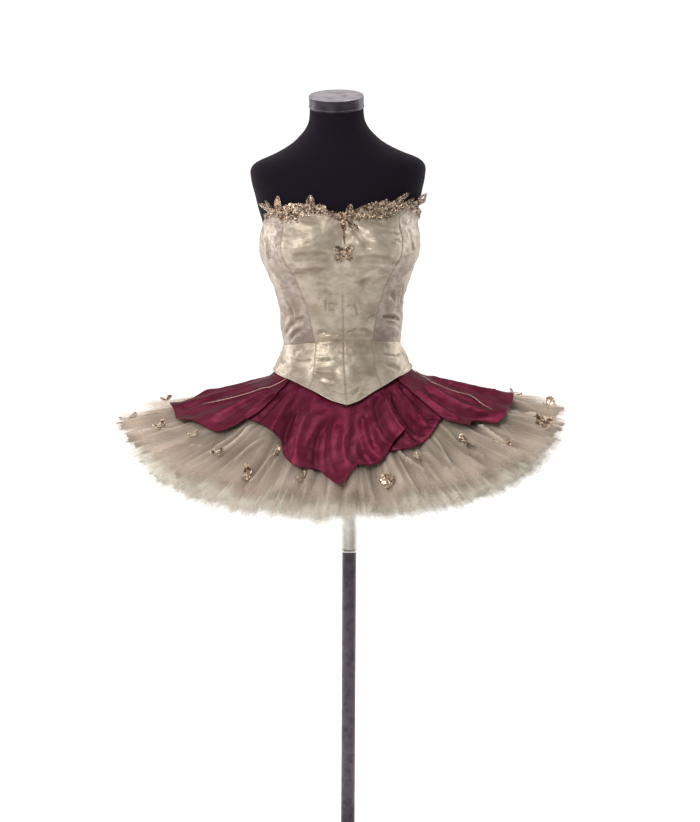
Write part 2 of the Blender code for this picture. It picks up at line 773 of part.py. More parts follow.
def build():
    for old in list(bpy.data.objects):
        bpy.data.objects.remove(old)
    form = bpy.data.objects.new("form_axis", None)
    bpy.context.scene.collection.objects.link(form)
    pivot = Matrix.Translation((0, 0, WAIST_HEIGHT + FORM_BOTTOM))
    lean = Matrix.Rotation(-FORM_LEAN, 4, "Y")
    shift = Matrix.Translation((FORM_SHIFT, 0, 0))
    form.matrix_world = shift @ pivot @ lean @ Matrix.Translation((0, 0, -FORM_BOTTOM))
    build_stand()
    build_form(form)
    build_bodice(form)
    build_yoke(form)
    build_petals(form)
    build_skirts(form)
    build_trim(form)
    build_ornaments(form)


build()
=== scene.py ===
"""Looks of a ballet costume on its limbless dress form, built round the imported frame.

Metres, +Z up. The wearer faces -Y, so the wearer's left is +X. Heights are above the waist seam, angles run
in degrees from the centre front towards the wearer's left, and along is a distance down a skirt from the
waist seam. Tables in millimetres have their lengths so and their angles in degrees.
"""

import math

import bpy
import numpy as np
from bpy.props import FloatProperty, FloatVectorProperty, IntProperty, PointerProperty
from mathutils import Matrix, Vector


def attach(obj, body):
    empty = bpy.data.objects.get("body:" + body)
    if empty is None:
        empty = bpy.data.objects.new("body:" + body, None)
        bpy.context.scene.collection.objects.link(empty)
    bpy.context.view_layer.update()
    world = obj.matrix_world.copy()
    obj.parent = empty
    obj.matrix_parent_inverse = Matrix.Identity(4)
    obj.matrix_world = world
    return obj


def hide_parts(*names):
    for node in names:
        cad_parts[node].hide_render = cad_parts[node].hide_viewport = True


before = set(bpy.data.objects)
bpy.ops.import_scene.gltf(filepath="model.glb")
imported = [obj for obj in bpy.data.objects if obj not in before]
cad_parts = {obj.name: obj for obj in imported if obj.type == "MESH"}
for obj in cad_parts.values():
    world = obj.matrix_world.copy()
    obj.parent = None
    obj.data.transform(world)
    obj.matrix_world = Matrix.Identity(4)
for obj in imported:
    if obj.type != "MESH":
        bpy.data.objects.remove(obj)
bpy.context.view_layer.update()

bl_info = {
    "name": "Ballet costume on a dress form",
    "version": (1, 0, 0),
    "blender": (4, 5, 0),
    "location": "3D View > Sidebar > Costume",
    "description": "Dresses the packed costume in satin, net, bead trim and ornaments, and sets its stage",
    "category": "Object",
}


def from_millimetres(rows, *plain):
    """A table in metres from one in millimetres. The plain columns, angles and the like, stay as they are."""
    return tuple(
        tuple(v if column in plain or isinstance(v, str) else v / 1000 for column, v in enumerate(row))
        for row in rows
    )


# Stand and form, as the frame has them
WAIST_HEIGHT = 1.075
BASE_RADIUS = 0.160
BASE_THICKNESS = 0.012
HUB_RADIUS = 0.030
HUB_HEIGHT = 0.034
POLE_RADIUS = 0.0145
COLLAR_RADIUS = 0.0158
COLLAR_FLANGE = 0.034
COLLAR_BOTTOM = WAIST_HEIGHT - 0.436
FORM_LEAN = math.radians(1.6)
FORM_SHIFT = -0.009
LEAN_ROOM = 0.0011
SEAM = 0.0003
FORM_BOTTOM = -0.290
NECK_TOP = 0.478
NECK_DEPTH = 0.056
NECK_TILT_FRONT = 0.010
CAP_HEIGHT = 0.024
CAP_TILT = math.radians(9.0)
BUST_HEIGHT = 0.203
BUST_RISE = 0.026
BUST_SPREAD = 0.052
BUST_ANGLE = 29.0
BUST_ARC = 21.0

# Cloth, as the frame has it
FORM_SLACK = 0.0026
CLOTH_OUT = 0.0032
YOKE_CLOTH = 0.0012
YOKE_TOP = -0.046
YOKE_BOTTOM = -0.132
SKIRT_LENGTH = 0.412
SKIRT_START = 0.052
BASQUE_ROOM = 0.0048
FLUTE_START = 0.065
FLUTES = 16
FLUTE_DEPTH = 0.015
PLY_LIFT = 0.0022
PLY_SPREAD = 0.0145
WAIST_RISE = 0.0134
DEGREE = 0.0022
FOLD_DEGREE = 0.0045
STROKE_BEND = 0.06
STROKE_FLANKS = 0.35
WAVER_TERMS = 9

# Columns: height, half width, front, back, power
BODY = from_millimetres((
    (500, 54.5, 53, 58, 2.1), (455, 56.2, 55, 63, 2.1), (435, 65, 60, 71, 2.1), (422, 76.5, 65, 78, 2.1),
    (410, 89, 69, 84, 2.2), (397, 109, 74, 89, 2.2), (385, 133, 78, 93, 2.3), (372, 164, 82, 97, 2.4),
    (358, 177, 87, 100, 2.5), (335, 176.5, 93, 104, 2.5), (310, 173, 99, 107, 2.4),
    (279, 166.5, 106, 108, 2.3), (245, 158, 111, 106, 2.2), (212, 160.5, 114, 103, 2.2),
    (186, 160, 113, 100, 2.2), (160, 151.5, 109, 97, 2.2), (124, 136, 103, 93, 2.2),
    (87, 125, 98, 89, 2.2), (60, 122.2, 95, 87, 2.2), (30, 120.5, 93.5, 85.5, 2.2),
    (0, 116.7, 93, 86, 2.2), (-55, 122.5, 97, 94, 2.2), (-100, 137, 103, 108, 2.2),
    (-150, 150, 108, 122, 2.3), (-200, 157, 109, 126, 2.3), (-250, 155, 104, 118, 2.3),
    (-290, 145, 96, 104, 2.3),
), 4)

# Columns: angle, height
NECKLINE = from_millimetres((
    (-180, 200), (-150, 202), (-120, 208), (-90, 222), (-78, 244), (-62, 268), (-42, 286), (-26, 291),
    (-12, 284), (0, 272), (12, 284), (26, 291), (42, 288), (62, 276), (78, 264), (90, 248), (120, 222),
    (150, 206), (180, 200),
), 0)

# Columns: height, front seam's angle, back seam's angle
PRINCESS = from_millimetres((
    (-120, 24, 158), (0, 26, 154), (56, 30.5, 152), (100, 35, 151), (163, 38.5, 149), (190, 41, 148),
    (300, 42.5, 145),
), 1, 2)

# Columns: angle, length
BASQUE = from_millimetres((
    (0, 151), (12, 128), (26, 104), (48, 78), (90, 58), (150, 66), (180, 82),
), 0)

# Droop below the horizontal in degrees. Columns: along, front, side, back
DROOP = {
    "guide": ((0.000, 86, 84, 84), (0.035, 82, 80, 80), (0.095, 48, 20, 22), (0.412, 29, 10, 12)),
    "tulle_2": ((0.000, 44, 24, 26), (0.335, 35, 16, 17)),
    "tulle_3": ((0.000, 46, 30, 31), (0.316, 37, 22, 23)),
    "tulle_4": ((0.000, 49, 35, 36), (0.297, 40, 27, 28)),
    "tulle_5": ((0.000, 52, 42, 42), (0.268, 43, 34, 34)),
}

# Under skirts. Columns: name, sewn at, length, flutes, depth, turn
UNDER_SKIRTS = (
    ("tulle_2", -0.088, 0.335, 15, 0.0080, 0.4),
    ("tulle_3", -0.099, 0.316, 16, 0.0075, 1.9),
    ("tulle_4", -0.110, 0.297, 15, 0.0075, 3.1),
    ("tulle_5", -0.121, 0.268, 14, 0.0070, 4.6),
)

# Petals' side edges and ply. Columns: name, from angle, to angle, ply
PETALS = (
    ("petal_front", -33.75, 26.25, 2),
    ("petal_front_left", 7.50, 60.00, 1),
    ("petal_left", 45.00, 105.00, 2),
    ("petal_back_left", 93.75, 146.25, 1),
    ("petal_back", 135.00, 195.00, 2),
    ("petal_back_right", 180.00, 247.50, 1),
    ("petal_right", 243.75, 311.25, 2),
    ("petal_front_right", 292.50, 345.00, 1),
)

# Hems of the petals. Columns: angle, along
HEMS = {
    "petal_front": from_millimetres((
        (-33.75, 222), (-28.75, 245), (-23, 300), (-17.5, 330), (-13.5, 322), (-10.5, 317), (-7, 345),
        (-3.25, 382), (-0.5, 352), (2, 318), (6, 308), (11, 300), (14.5, 280), (17.5, 258), (21, 244),
        (26.25, 225),
    ), 0),
    "petal_front_left": from_millimetres((
        (7.5, 262), (14, 280), (20, 282), (27, 268), (35, 250), (42.5, 226), (47, 218), (53, 212),
        (60, 205),
    ), 0),
    "petal_left": from_millimetres((
        (45, 232), (49.5, 266), (55, 258), (59, 262), (62, 292), (70, 290), (81, 286), (92, 284),
        (99, 268), (105, 240),
    ), 0),
    "petal_back_left": from_millimetres((
        (93.75, 222), (101, 262), (110, 284), (120, 290), (131, 276), (139, 262), (146.25, 226),
    ), 0),
    "petal_back": from_millimetres((
        (135, 208), (142, 262), (151, 272), (158, 292), (165, 330), (171, 290), (179, 276), (188, 262),
        (195, 212),
    ), 0),
    "petal_back_right": from_millimetres((
        (180, 224), (190, 266), (203, 280), (214, 290), (228, 276), (239, 262), (247.5, 226),
    ), 0),
    "petal_right": from_millimetres((
        (243.75, 240), (253, 270), (264, 292), (276, 288), (285, 294), (295, 276), (304.5, 266),
        (308, 240), (311.25, 208),
    ), 0),
    "petal_front_right": from_millimetres((
        (292.5, 238), (300, 228), (308, 214), (313, 206), (320, 216), (327, 230), (333, 246), (339, 262),
        (345, 270),
    ), 0),
}

# Folds of the petals and of the net under them.
# Columns: from angle, from along, to angle, to along, width, rise
FOLDS = from_millimetres((
    (-70, 100, -80, 290, 13, 5), (-58, 90, -60, 260, 10, -4.5), (-52, 110, -51, 230, 9, 5),
    (-44, 90, -43, 240, 12, -6), (-35, 110, -33, 250, 10, 5.5), (-29, 150, -26, 270, 8, -6),
    (-21, 150, -17, 330, 10, 6), (-12.5, 200, -11, 330, 6, -5), (-6, 170, -3, 370, 8, 4),
    (1, 220, 2, 320, 6, -4.5), (8, 160, 10, 310, 10, 6), (17, 120, 18.5, 280, 9, -6.5),
    (24, 110, 27, 280, 9, 7), (31, 110, 33, 250, 7, -6), (37, 120, 38, 240, 6, 6.5),
    (43, 90, 43, 230, 9, -8.5), (51, 110, 52, 260, 10, 5.5), (58, 120, 60, 270, 8, -5),
    (66, 100, 66, 290, 10, 5.5), (78, 90, 80, 290, 11, -4.5), (90, 100, 92, 280, 11, 5),
    (104, 90, 102, 260, 12, -5.5), (116, 110, 118, 290, 11, 5.5), (127, 100, 130, 270, 10, -5),
    (138, 120, 139, 260, 9, 6), (148, 100, 150, 270, 11, -5.5), (160, 140, 159, 290, 10, 5),
    (171, 120, 172, 290, 10, -5), (184, 110, 186, 270, 11, 6), (196, 100, 198, 270, 10, -6),
    (209, 120, 208, 290, 11, 5), (222, 100, 224, 280, 11, -5), (236, 110, 238, 260, 10, 5.5),
    (250, 100, 252, 280, 12, -5), (263, 110, 262, 290, 10, 4.5), (276, 100, 277, 290, 10, -4),
), 0, 2)

# Turned edges on the petals, pale as a painted highlight where they catch the light. Columns: side, then
# stops of (angle, along)
ROLLED_EDGES = (
    ("left", ((91.0, 0.065), (81.0, 0.095), (75.5, 0.125), (75.5, 0.170), (70.0, 0.225), (66.5, 0.268))),
    ("right", ((-49.0, 0.070), (-58.0, 0.100), (-66.5, 0.130), (-73.0, 0.175), (-79.0, 0.232))),
)

# Creases of the bodice. Columns: from angle, from height, to angle, to height, width, rise
CREASES = from_millimetres((
    (-34, 184, -5, 187, 8.5, -3), (5, 179, 34, 175, 8.5, -2.8), (-30, 160, -8, 166, 6, 1.2),
    (6.5, 246, 18, 198, 5, -2.6), (3.5, 240, 12, 204, 4, 1.4), (12, 250, 24, 206, 4.5, 1.4),
    (-42, 233, -34, 226, 2.2, -1.8), (-42, 222, -35, 216, 2, -1.5), (-38, 242, -30, 238, 2.2, -1.3),
    (31, 231, 39, 225, 2.4, -1.8), (33, 218, 40, 211, 2.2, -1.7), (26, 246, 36, 240, 2.4, -1.2),
    (-30, 262, -10, 252, 5, -1.6), (10, 254, 30, 244, 4.8, -1.5), (-24, 152, -13, 138, 4, -1.4),
    (-15, 118, -7, 106, 4, -1.5), (10, 128, 22, 132, 5, -1.5), (13, 150, 17, 112, 3.5, -1.1),
    (-22, 100, -14, 103, 1.8, -1.6), (-14.5, 102, -14, 74, 1.7, -1.5), (-12, 90, -3, 88, 2, -1.4),
    (-12, 80, -5, 72, 2.4, -1.6), (1.5, 84.5, 6.5, 84.5, 1.1, -1.6), (8, 94, 12, 62, 2.6, -1.2),
    (-7, 30, -0.5, 24, 2.2, -1.6), (-24, 33, -9, 27, 2.6, -1.5), (1.5, 28, 13, 37, 2.4, -1.8),
    (13, 37, 28, 26, 2.4, -1.7), (2, 19, 28, 17, 2.2, 1.2), (-25, 20, -2, 17, 2.2, 1.1),
    (20, 54, 31, 64, 2.6, -2), (33, 58, 74, 40, 2.8, -2.6), (35, 50, 70, 33, 2.6, 1.5),
    (-72, 20, -33, 62, 5, -2.4), (-62, 10, -34, 40, 4, -1.6), (-60, 100, -50, 46, 4.5, -1.6),
    (-70, 236, -58, 170, 6, -1.4), (-52, 224, -46, 150, 6, 1.2), (52, 240, 60, 180, 5.5, -1.4),
    (62, 130, 70, 70, 4.5, -1.8), (46, 104, 56, 84, 4, -1.4), (84, 150, 96, 60, 6, -1.8),
    (96, 48, 142, 30, 3.4, -2), (98, 24, 136, 14, 3, -1.4), (110, 150, 132, 100, 6, -1.4),
    (156, 60, 176, 70, 3.4, -1.8), (158, 30, 178, 24, 2.8, -1.6), (154, 130, 172, 110, 4.5, -1.2),
    (184, 52, 204, 42, 3.2, -1.8), (182, 20, 202, 26, 2.8, -1.4), (188, 120, 206, 140, 5, -1.2),
    (216, 30, 262, 52, 3.4, -2.2), (220, 14, 258, 22, 3, -1.4), (228, 96, 250, 140, 6, -1.5),
    (266, 70, 276, 150, 6, -1.7),
), 0, 2)

# Creases of the basque. Columns: from angle, from along, to angle, to along, width, rise
BASQUE_CREASES = from_millimetres((
    (-56, 27, -26, 34, 2.2, -1.8), (-26, 34, -1, 31, 2.2, -1.8), (1.5, 24, 29, 23, 2, -1.8),
    (30, 24, 66, 26, 2, -1.5), (-24, 58, -4, 64, 6, -1.4), (4, 56, 24, 74, 7, -1.6),
    (-20, 84, -6, 98, 5, -1.3), (-8, 110, 1, 128, 2.8, -1.5), (2, 126, 9, 106, 2.6, -1.6),
    (-50, 46, -30, 64, 5, -1.4), (34, 44, 54, 60, 5, -1.4), (-84, 20, -60, 36, 4, -1.3),
    (70, 18, 88, 34, 4, -1.3), (112, 26, 148, 22, 2.6, -1.5), (158, 30, 178, 26, 2.4, -1.5),
    (184, 22, 204, 30, 2.4, -1.6), (212, 24, 250, 28, 2.6, -1.5),
), 0, 2)

# Pale ridges where the top net doubles over, painted paler as a highlight as well. Columns: from angle, from
# along, to angle, to along, width, rise
NET_RIDGES = from_millimetres((
    (-47.5, 205, -45, 345, 3.2, 7.5), (-49.5, 215, -52.5, 320, 3, 5.5), (-66, 240, -74.5, 360, 3, 6),
    (-52, 310, -64, 352, 2.8, 5), (-23.5, 270, -21.5, 360, 3, 5), (-36, 235, -38.5, 352, 3.2, 4.5),
    (-31, 250, -28.5, 330, 2.8, 4), (17.5, 260, 24.5, 365, 3.4, 7.5), (12, 300, 13.5, 375, 2.8, 4),
    (27, 262, 33, 375, 3.2, 6.5), (36.5, 245, 31, 350, 2.8, 4.5), (43, 222, 44.5, 390, 3.2, 7),
    (47, 260, 39.5, 360, 2.8, 4.5), (61, 250, 55, 388, 3.6, 9), (66, 285, 61, 380, 3, 5),
    (80, 285, 72, 372, 3.2, 6), (88, 280, 84, 385, 3, 5.5), (101, 260, 98, 380, 3.2, 7),
    (112, 270, 117, 375, 3, 5.5), (125, 270, 122, 385, 3.4, 7), (137, 250, 141, 380, 3.2, 6.5),
    (149, 265, 146, 370, 3, 5.5), (156, 290, 160, 385, 3.2, 6.5), (176, 280, 172, 380, 3.2, 6),
    (187, 262, 191, 385, 3.4, 7.5), (200, 275, 197, 372, 3, 5), (212, 285, 216, 385, 3.2, 6.5),
    (226, 275, 222, 375, 3, 5.5), (238, 258, 242, 385, 3.4, 7), (251, 270, 248, 375, 3, 5.5),
    (262, 285, 266, 380, 3.2, 6), (274, 290, 271, 385, 3, 5.5),
), 0, 2)

# Plies of net. Columns: name, node, lift at the hem, length against the node's, ruffles, ruffle depth,
# how much of the ground is covered in the body and at the hem, seed
PLIES = (
    ("net_top", "tulle_1", 0.0040, 1.000, 30, 0.0105, 0.46, 0.22, 11),
    ("net_second", "tulle_1", -0.0050, 0.985, 40, 0.0100, 0.74, 0.28, 12),
    ("net_third", "tulle_1", -0.0140, 0.965, 64, 0.0080, 0.97, 0.40, 13),
    ("net_fourth", "tulle_2", 0.0040, 1.020, 60, 0.0080, 0.55, 0.25, 14),
    ("net_fifth", "tulle_2", -0.0040, 0.985, 54, 0.0080, 0.97, 0.55, 15),
    ("net_sixth", "tulle_3", 0.0035, 1.010, 56, 0.0080, 0.60, 0.40, 16),
    ("net_seventh", "tulle_3", -0.0040, 0.980, 52, 0.0080, 0.97, 0.55, 17),
    ("net_eighth", "tulle_4", 0.0035, 1.010, 54, 0.0080, 0.60, 0.40, 18),
    ("net_ninth", "tulle_4", -0.0040, 0.985, 50, 0.0080, 0.97, 0.55, 19),
    ("net_tenth", "tulle_5", 0.0030, 1.010, 48, 0.0070, 0.65, 0.45, 20),
    ("net_eleventh", "tulle_5", -0.0040, 0.980, 46, 0.0070, 0.97, 0.60, 21),
)

# Ornaments, as the frame has them. Columns: angle, along, size, turn
ORNAMENTS = from_millimetres((
    (-96, 378, 36, 20), (-75, 340, 26, -35), (-61, 312, 24, 10), (-45, 335, 26, 60), (-33, 352, 34, -30),
    (-28, 285, 22, 0), (-16, 356, 28, 35), (11, 345, 34, -15), (23, 312, 24, 45), (43, 302, 34, 5),
    (54, 336, 34, -25), (69, 368, 36, 15), (92, 372, 30, -40), (112, 330, 26, 25), (131, 350, 26, -10),
    (154, 372, 24, 50), (178, 368, 32, -20), (-158, 340, 26, 15), (-136, 372, 32, -45),
    (-116, 345, 26, 30),
), 0, 3)

# Motifs of the neckline trim. Columns: kind, from angle, from height, to angle, to height, width
MOTIFS = from_millimetres((
    ("leaf", -50, 279, -66, 290, 11), ("leaf", -49, 274, -56, 297, 8),
    ("leaf", -45.5, 272, -41.5, 307, 13), ("cluster", -45, 270, -29, 269, 18),
    ("leaf", -36, 272, -31, 292, 10), ("shell", -24, 281, -24, 293, 14),
    ("cluster", -29, 272, -16, 277, 12), ("leaf", -18.5, 276, -16, 309, 12),
    ("shell", -11, 280, -10.5, 291, 11), ("cluster", -16, 276, -8, 276, 10), ("rope", -9, 279, -1, 262, 9),
    ("leaf", 4, 268, 4.5, 289, 8), ("leaf", 3.5, 255, 9.5, 240, 9), ("cluster", 2.5, 266, 17, 265, 14),
    ("cluster", 17, 266, 33, 265, 13), ("leaf", 17.5, 272, 20.5, 293, 10),
    ("leaf", 24, 273, 28.5, 296, 11), ("leaf", 29, 277, 48, 306, 12), ("cluster", 33, 272, 46, 283, 14),
    ("leaf", 44, 278, 55, 294, 10), ("rope", 44, 281, 82, 288, 12), ("leaf", 60, 283, 73, 300, 9),
    ("leaf", 79, 286, 88, 299, 9),
), 1, 3)

# The band below the neckline's middle and the bow at its foot
BAND_TOP = 0.274
BAND_POINT = 0.240
BAND_SHIFT = 0.0026
FRONT_DEGREE = 0.0033
BAND_FOOT = 0.212
BOW_HEIGHT = 0.194

# Loops of the bow. Columns: side, slope, reach, half width
BOW_LOOPS = tuple(
    (side, *loop) for loop in ((0.66, 0.0185, 0.0062), (-0.80, 0.0205, 0.0054)) for side in (1, -1)
)

# The photograph's frame and the view it was taken from
PHOTO_WIDTH = 700
WAIST_ROW = 342
MIDDLE_ROW = 411
PIXEL = 0.00205
VIEW_HEIGHT = math.radians(8.0)
VIEW_TURN = math.radians(2.5)
VIEW_ROLL = math.radians(0.3)
SENSOR = 36.0


# Shapes

def smooth(value):
    """A soft step from 0 to 1."""
    inside = np.clip(value, 0.0, 1.0)
    return inside * inside * (3.0 - 2.0 * inside)


def bell(value, width):
    """1 at zero, falling softly to 0 within about two widths."""
    return np.exp(-((value / width) ** 2))


def read(rows, at):
    """Every column of a table but the first, at values of the first, on a smooth curve through its rows."""
    table = np.array(sorted(rows), dtype=float)
    keys = table[:, 0]
    at = np.clip(at, keys[0], keys[-1])
    low = np.clip(np.searchsorted(keys, at, side="right") - 1, 0, len(keys) - 2)
    span = keys[low + 1] - keys[low]
    share = (at - keys[low]) / span
    spots = np.arange(len(keys))
    before, after = np.maximum(spots - 1, 0), np.minimum(spots + 1, len(keys) - 1)
    slopes = (table[after] - table[before]) / (keys[after] - keys[before])[:, None]
    square, cube = share**2, share**3
    return [
        (2 * cube - 3 * square + 1) * table[low, column]
        + (cube - 2 * square + share) * slopes[low, column] * span
        + (3 * square - 2 * cube) * table[low + 1, column]
        + (cube - square) * slopes[low + 1, column] * span
        for column in range(1, table.shape[1])
    ]


def wrapped(angle):
    return (angle + 180.0) % 360.0 - 180.0


def ring(angle, height):
    """Points of the body's level section, with no bust."""
    half_width, front, back, power = read(BODY, height)
    turn = np.radians(angle)
    across, ahead = np.sin(turn), np.cos(turn)
    depth = np.where(ahead > 0, front, back)
    x = np.sign(across) * np.abs(across) ** (2.0 / power) * half_width
    y = -np.sign(ahead) * np.abs(ahead) ** (2.0 / power) * depth
    return np.stack(np.broadcast_arrays(x, y, height), axis=-1)


def body(angle, height, out=0.0):
    """Points of the body's surface, moved out level by a distance."""
    angle, height, out = np.broadcast_arrays(angle, height, out)
    here = ring(angle, height)
    ahead = ring(angle + 0.5, height) - ring(angle - 0.5, height)
    outward = np.stack([-ahead[..., 1], ahead[..., 0], np.zeros_like(height)], axis=-1)
    outward /= np.linalg.norm(outward, axis=-1, keepdims=True)
    inward = (outward * here).sum(axis=-1, keepdims=True) < 0
    outward = np.where(inward, -outward, outward)
    level = bell(height - BUST_HEIGHT, BUST_SPREAD)
    around = bell(np.abs(wrapped(angle)) - BUST_ANGLE, BUST_ARC)
    return here + outward * (out + BUST_RISE * level * around)[..., None]


def waist_rise(angle):
    return WAIST_RISE * np.maximum(np.cos(np.radians(angle)), 0.0) ** 2


def neckline(angle):
    return read(NECKLINE, wrapped(angle))[0]


def basque_length(angle):
    return read(BASQUE, np.abs(wrapped(angle)))[0]


def flute(angle, count, turn):
    """The flutes round a skirt, from -1 to 1, unevenly spaced and of uneven depth."""
    turning = np.radians(angle)
    uneven = 0.9 * np.sin(3 * turning + 0.5 + turn) + 0.5 * np.sin(5 * turning + 2.0 * turn)
    return np.cos(count * turning + uneven) * (0.80 + 0.20 * np.sin(2 * turning + 1.0 + turn))


class Fall:
    """How far a skirt reaches out and drops, and its droop, at distances along it and at angles round it."""

    STEPS = 160

    def __init__(self, rows):
        self.length = rows[-1][0] + 0.05
        along = np.linspace(0.0, self.length, self.STEPS)
        ahead = np.cos(np.radians(np.arange(361.0)))
        keys = [row[0] for row in rows]
        front, side, back = (np.interp(along, keys, [row[column] for row in rows]) for column in (1, 2, 3))
        to_front, to_back = (np.maximum(sign * ahead, 0.0)[:, None] ** 1.5 for sign in (1, -1))
        droop = np.radians(side + (front - side) * to_front + (back - side) * to_back)
        middle = (droop[:, 1:] + droop[:, :-1]) / 2
        start = np.zeros((361, 1))
        reach = np.hstack([start, np.cumsum(np.cos(middle), axis=1) * along[1]])
        drop = np.hstack([start, -np.cumsum(np.sin(middle), axis=1) * along[1]])
        self.sheets = np.stack([reach, drop, droop], axis=-1)

    def at(self, angle, along):
        angle, along = np.broadcast_arrays(np.mod(angle, 360.0), along)
        row, column = angle, np.clip(along / self.length, 0.0, 1.0) * (self.STEPS - 1)
        low, near = np.minimum(row.astype(int), 359), np.minimum(column.astype(int), self.STEPS - 2)
        part, share = (row - low)[..., None], (column - near)[..., None]
        sheets = self.sheets
        first = sheets[low, near] * (1 - share) + sheets[low, near + 1] * share
        second = sheets[low + 1, near] * (1 - share) + sheets[low + 1, near + 1] * share
        found = first * (1 - part) + second * part
        return found[..., 0], found[..., 1], found[..., 2]


FALLS = {name: Fall(rows) for name, rows in DROOP.items()}


def skirt(name, angle, along, start, lift):
    """Points of a skirt: its start on the body, out along its fall, and up from it by a lift."""
    reach, drop, droop = FALLS[name].at(angle, along)
    turn = np.radians(angle)
    away = reach + np.sin(droop) * lift
    down = drop + np.cos(droop) * lift
    return start + np.stack(np.broadcast_arrays(np.sin(turn) * away, -np.cos(turn) * away, down), axis=-1)


def strokes(table, first, second, metres_first=DEGREE):
    """The sum of soft ridges and troughs, each a stroke between two points in a surface's own measures."""
    total = np.zeros(np.broadcast(first, second).shape)
    for from_first, from_second, to_first, to_second, width, rise in table:
        middle = (from_first + to_first) / 2
        x, y = wrapped(first - middle) * metres_first, second - from_second
        start = (from_first - middle) * metres_first
        run = np.array([(to_first - from_first) * metres_first, to_second - from_second])
        length = np.hypot(*run)
        share = ((x - start) * run[0] + y * run[1]) / length**2
        beside = ((x - start) * run[1] - y * run[0]) / length
        bent = STROKE_BEND * length * np.sin(np.pi * np.clip(share, 0, 1))
        beside = beside - bent * (1 if from_first * 7 % 2 > 1 else -1)
        ends = smooth(share / 0.22) * smooth((1 - share) / 0.22)
        flanks = bell(np.abs(beside) - 2.1 * width, width)
        total += rise * (bell(beside, width) - STROKE_FLANKS * flanks) * ends
    return total


def guide(angle, along, lift=0.0):
    """The top skirt's fluted and folded surface. Petals and basque follow it at a lift of their own."""
    start = body(angle, waist_rise(angle), CLOTH_OUT)
    grown = np.maximum(along - FLUTE_START, 0.0) / (SKIRT_LENGTH - FLUTE_START)
    waves = FLUTE_DEPTH * grown**1.3 * flute(angle, FLUTES, 0.0)
    folded = strokes(FOLDS, angle, along, FOLD_DEGREE) * smooth((along - 0.075) / 0.05)
    return skirt("guide", angle, along, start, lift + waves + folded)


def petal_lift(ply, along):
    return ply * (PLY_LIFT + PLY_SPREAD * np.maximum(along - SKIRT_START, 0.0))


def basque_lift(along):
    return (petal_lift(2, along) + BASQUE_ROOM) * smooth(along / 0.045)


def waver(angle, seed, low, high):
    """An uneven wave round a whole turn, about -1 to 1, from sines of whole numbers of turns."""
    draws = np.random.default_rng(seed)
    turning = np.radians(angle)
    total = 0.0
    for _ in range(WAVER_TERMS):
        total = total + np.sin(draws.integers(low, high) * turning + draws.uniform(0, 2 * math.pi))
    return total / math.sqrt(WAVER_TERMS / 2) / 1.5


LEAN = np.array(
    Matrix.Translation((FORM_SHIFT, 0, WAIST_HEIGHT + FORM_BOTTOM))
    @ Matrix.Rotation(-FORM_LEAN, 4, "Y")
    @ Matrix.Translation((0, 0, -FORM_BOTTOM))
)


def placed(points):
    """Points above the waist on the leaning form, in the frame's own metres."""
    return points @ LEAN[:3, :3].T + LEAN[:3, 3]


# Meshes

def finish_piece(made, slot, nodes, *finishes):
    """Gives a piece its materials and makes it ride on the part's one body. Its slot is not used."""
    for finish in finishes:
        made.data.materials.append(finish)
    if nodes:
        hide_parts(*nodes)
    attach(made, "root")


def linked(name, data):
    """A new object of the scene."""
    made = bpy.data.objects.new(name, data)
    bpy.context.scene.collection.objects.link(made)
    return made


def mesh_object(name, points, faces, uv=None, marks=None):
    mesh = bpy.data.meshes.new(name)
    mesh.from_pydata(points.tolist(), [], faces)
    if uv is not None:
        layer = mesh.uv_layers.new(name="metres")
        layer.data.foreach_set("uv", uv.ravel())
    for label, values in (marks or {}).items():
        mesh.attributes.new(label, "FLOAT", "POINT").data.foreach_set("value", values.ravel())
    mesh.shade_smooth()
    return linked(name, mesh)


def cloth(name, grid, across, along, closed=False, marks=None):
    """A sheet from rows of points in the form's frame, facing away from the body, its UV map in metres."""
    rows, columns = grid.shape[:2]
    points = placed(grid)
    row, column = np.indices((rows - 1, columns if closed else columns - 1))
    corners = ((row, column), (row, column + 1), (row + 1, column + 1), (row + 1, column))
    quads = np.stack([down * columns + beside % columns for down, beside in corners], axis=-1).reshape(-1, 4)
    across, along = np.broadcast_arrays(across, along)
    uv = np.stack([across, along], axis=-1)
    loops = np.stack([uv[down, beside] for down, beside in corners], axis=-2).reshape(-1, 4, 2)
    flat = points.reshape(-1, 3)
    normals = np.cross(flat[quads[:, 2]] - flat[quads[:, 0]], flat[quads[:, 3]] - flat[quads[:, 1]])
    away = flat[quads[:, 0]] - np.array([flat[:, 0].mean() if closed else FORM_SHIFT, 0.0, 0.0])
    away[:, 2] = 0.5 * np.linalg.norm(away[:, :2], axis=1)
    if (normals * away).sum() < 0:
        quads, loops = quads[:, ::-1], loops[:, ::-1]
    return mesh_object(name, flat, quads.tolist(), loops, marks)


def grid_sizes(grid, closed=False):
    """The widest row, the longest column and the area of a grid of points."""
    whole = np.concatenate([grid, grid[:, :1]], axis=1) if closed else grid
    width = np.linalg.norm(np.diff(whole, axis=1), axis=-1).sum(axis=1).max()
    length = np.linalg.norm(np.diff(whole, axis=0), axis=-1).sum(axis=0).max()
    first, second = whole[1:, 1:] - whole[:-1, :-1], whole[1:, :-1] - whole[:-1, 1:]
    area = np.linalg.norm(np.cross(first, second), axis=-1).sum() / 2
    return float(width), float(length), float(area)


def declare_sheet(grid, closed=False):
    width, length, area = grid_sizes(grid, closed)


def thicken(made, thickness):
    """Gives a sheet its thickness inwards, with crisp cut edges."""
    wall = made.modifiers.new("thickness", "SOLIDIFY")
    wall.thickness = thickness
    wall.offset = -1.0
    bpy.context.view_layer.update()
    mesh = bpy.data.meshes.new_from_object(made.evaluated_get(bpy.context.evaluated_depsgraph_get()))
    made.modifiers.clear()
    made.data = mesh
    mesh.set_sharp_from_angle(angle=math.radians(60.0))


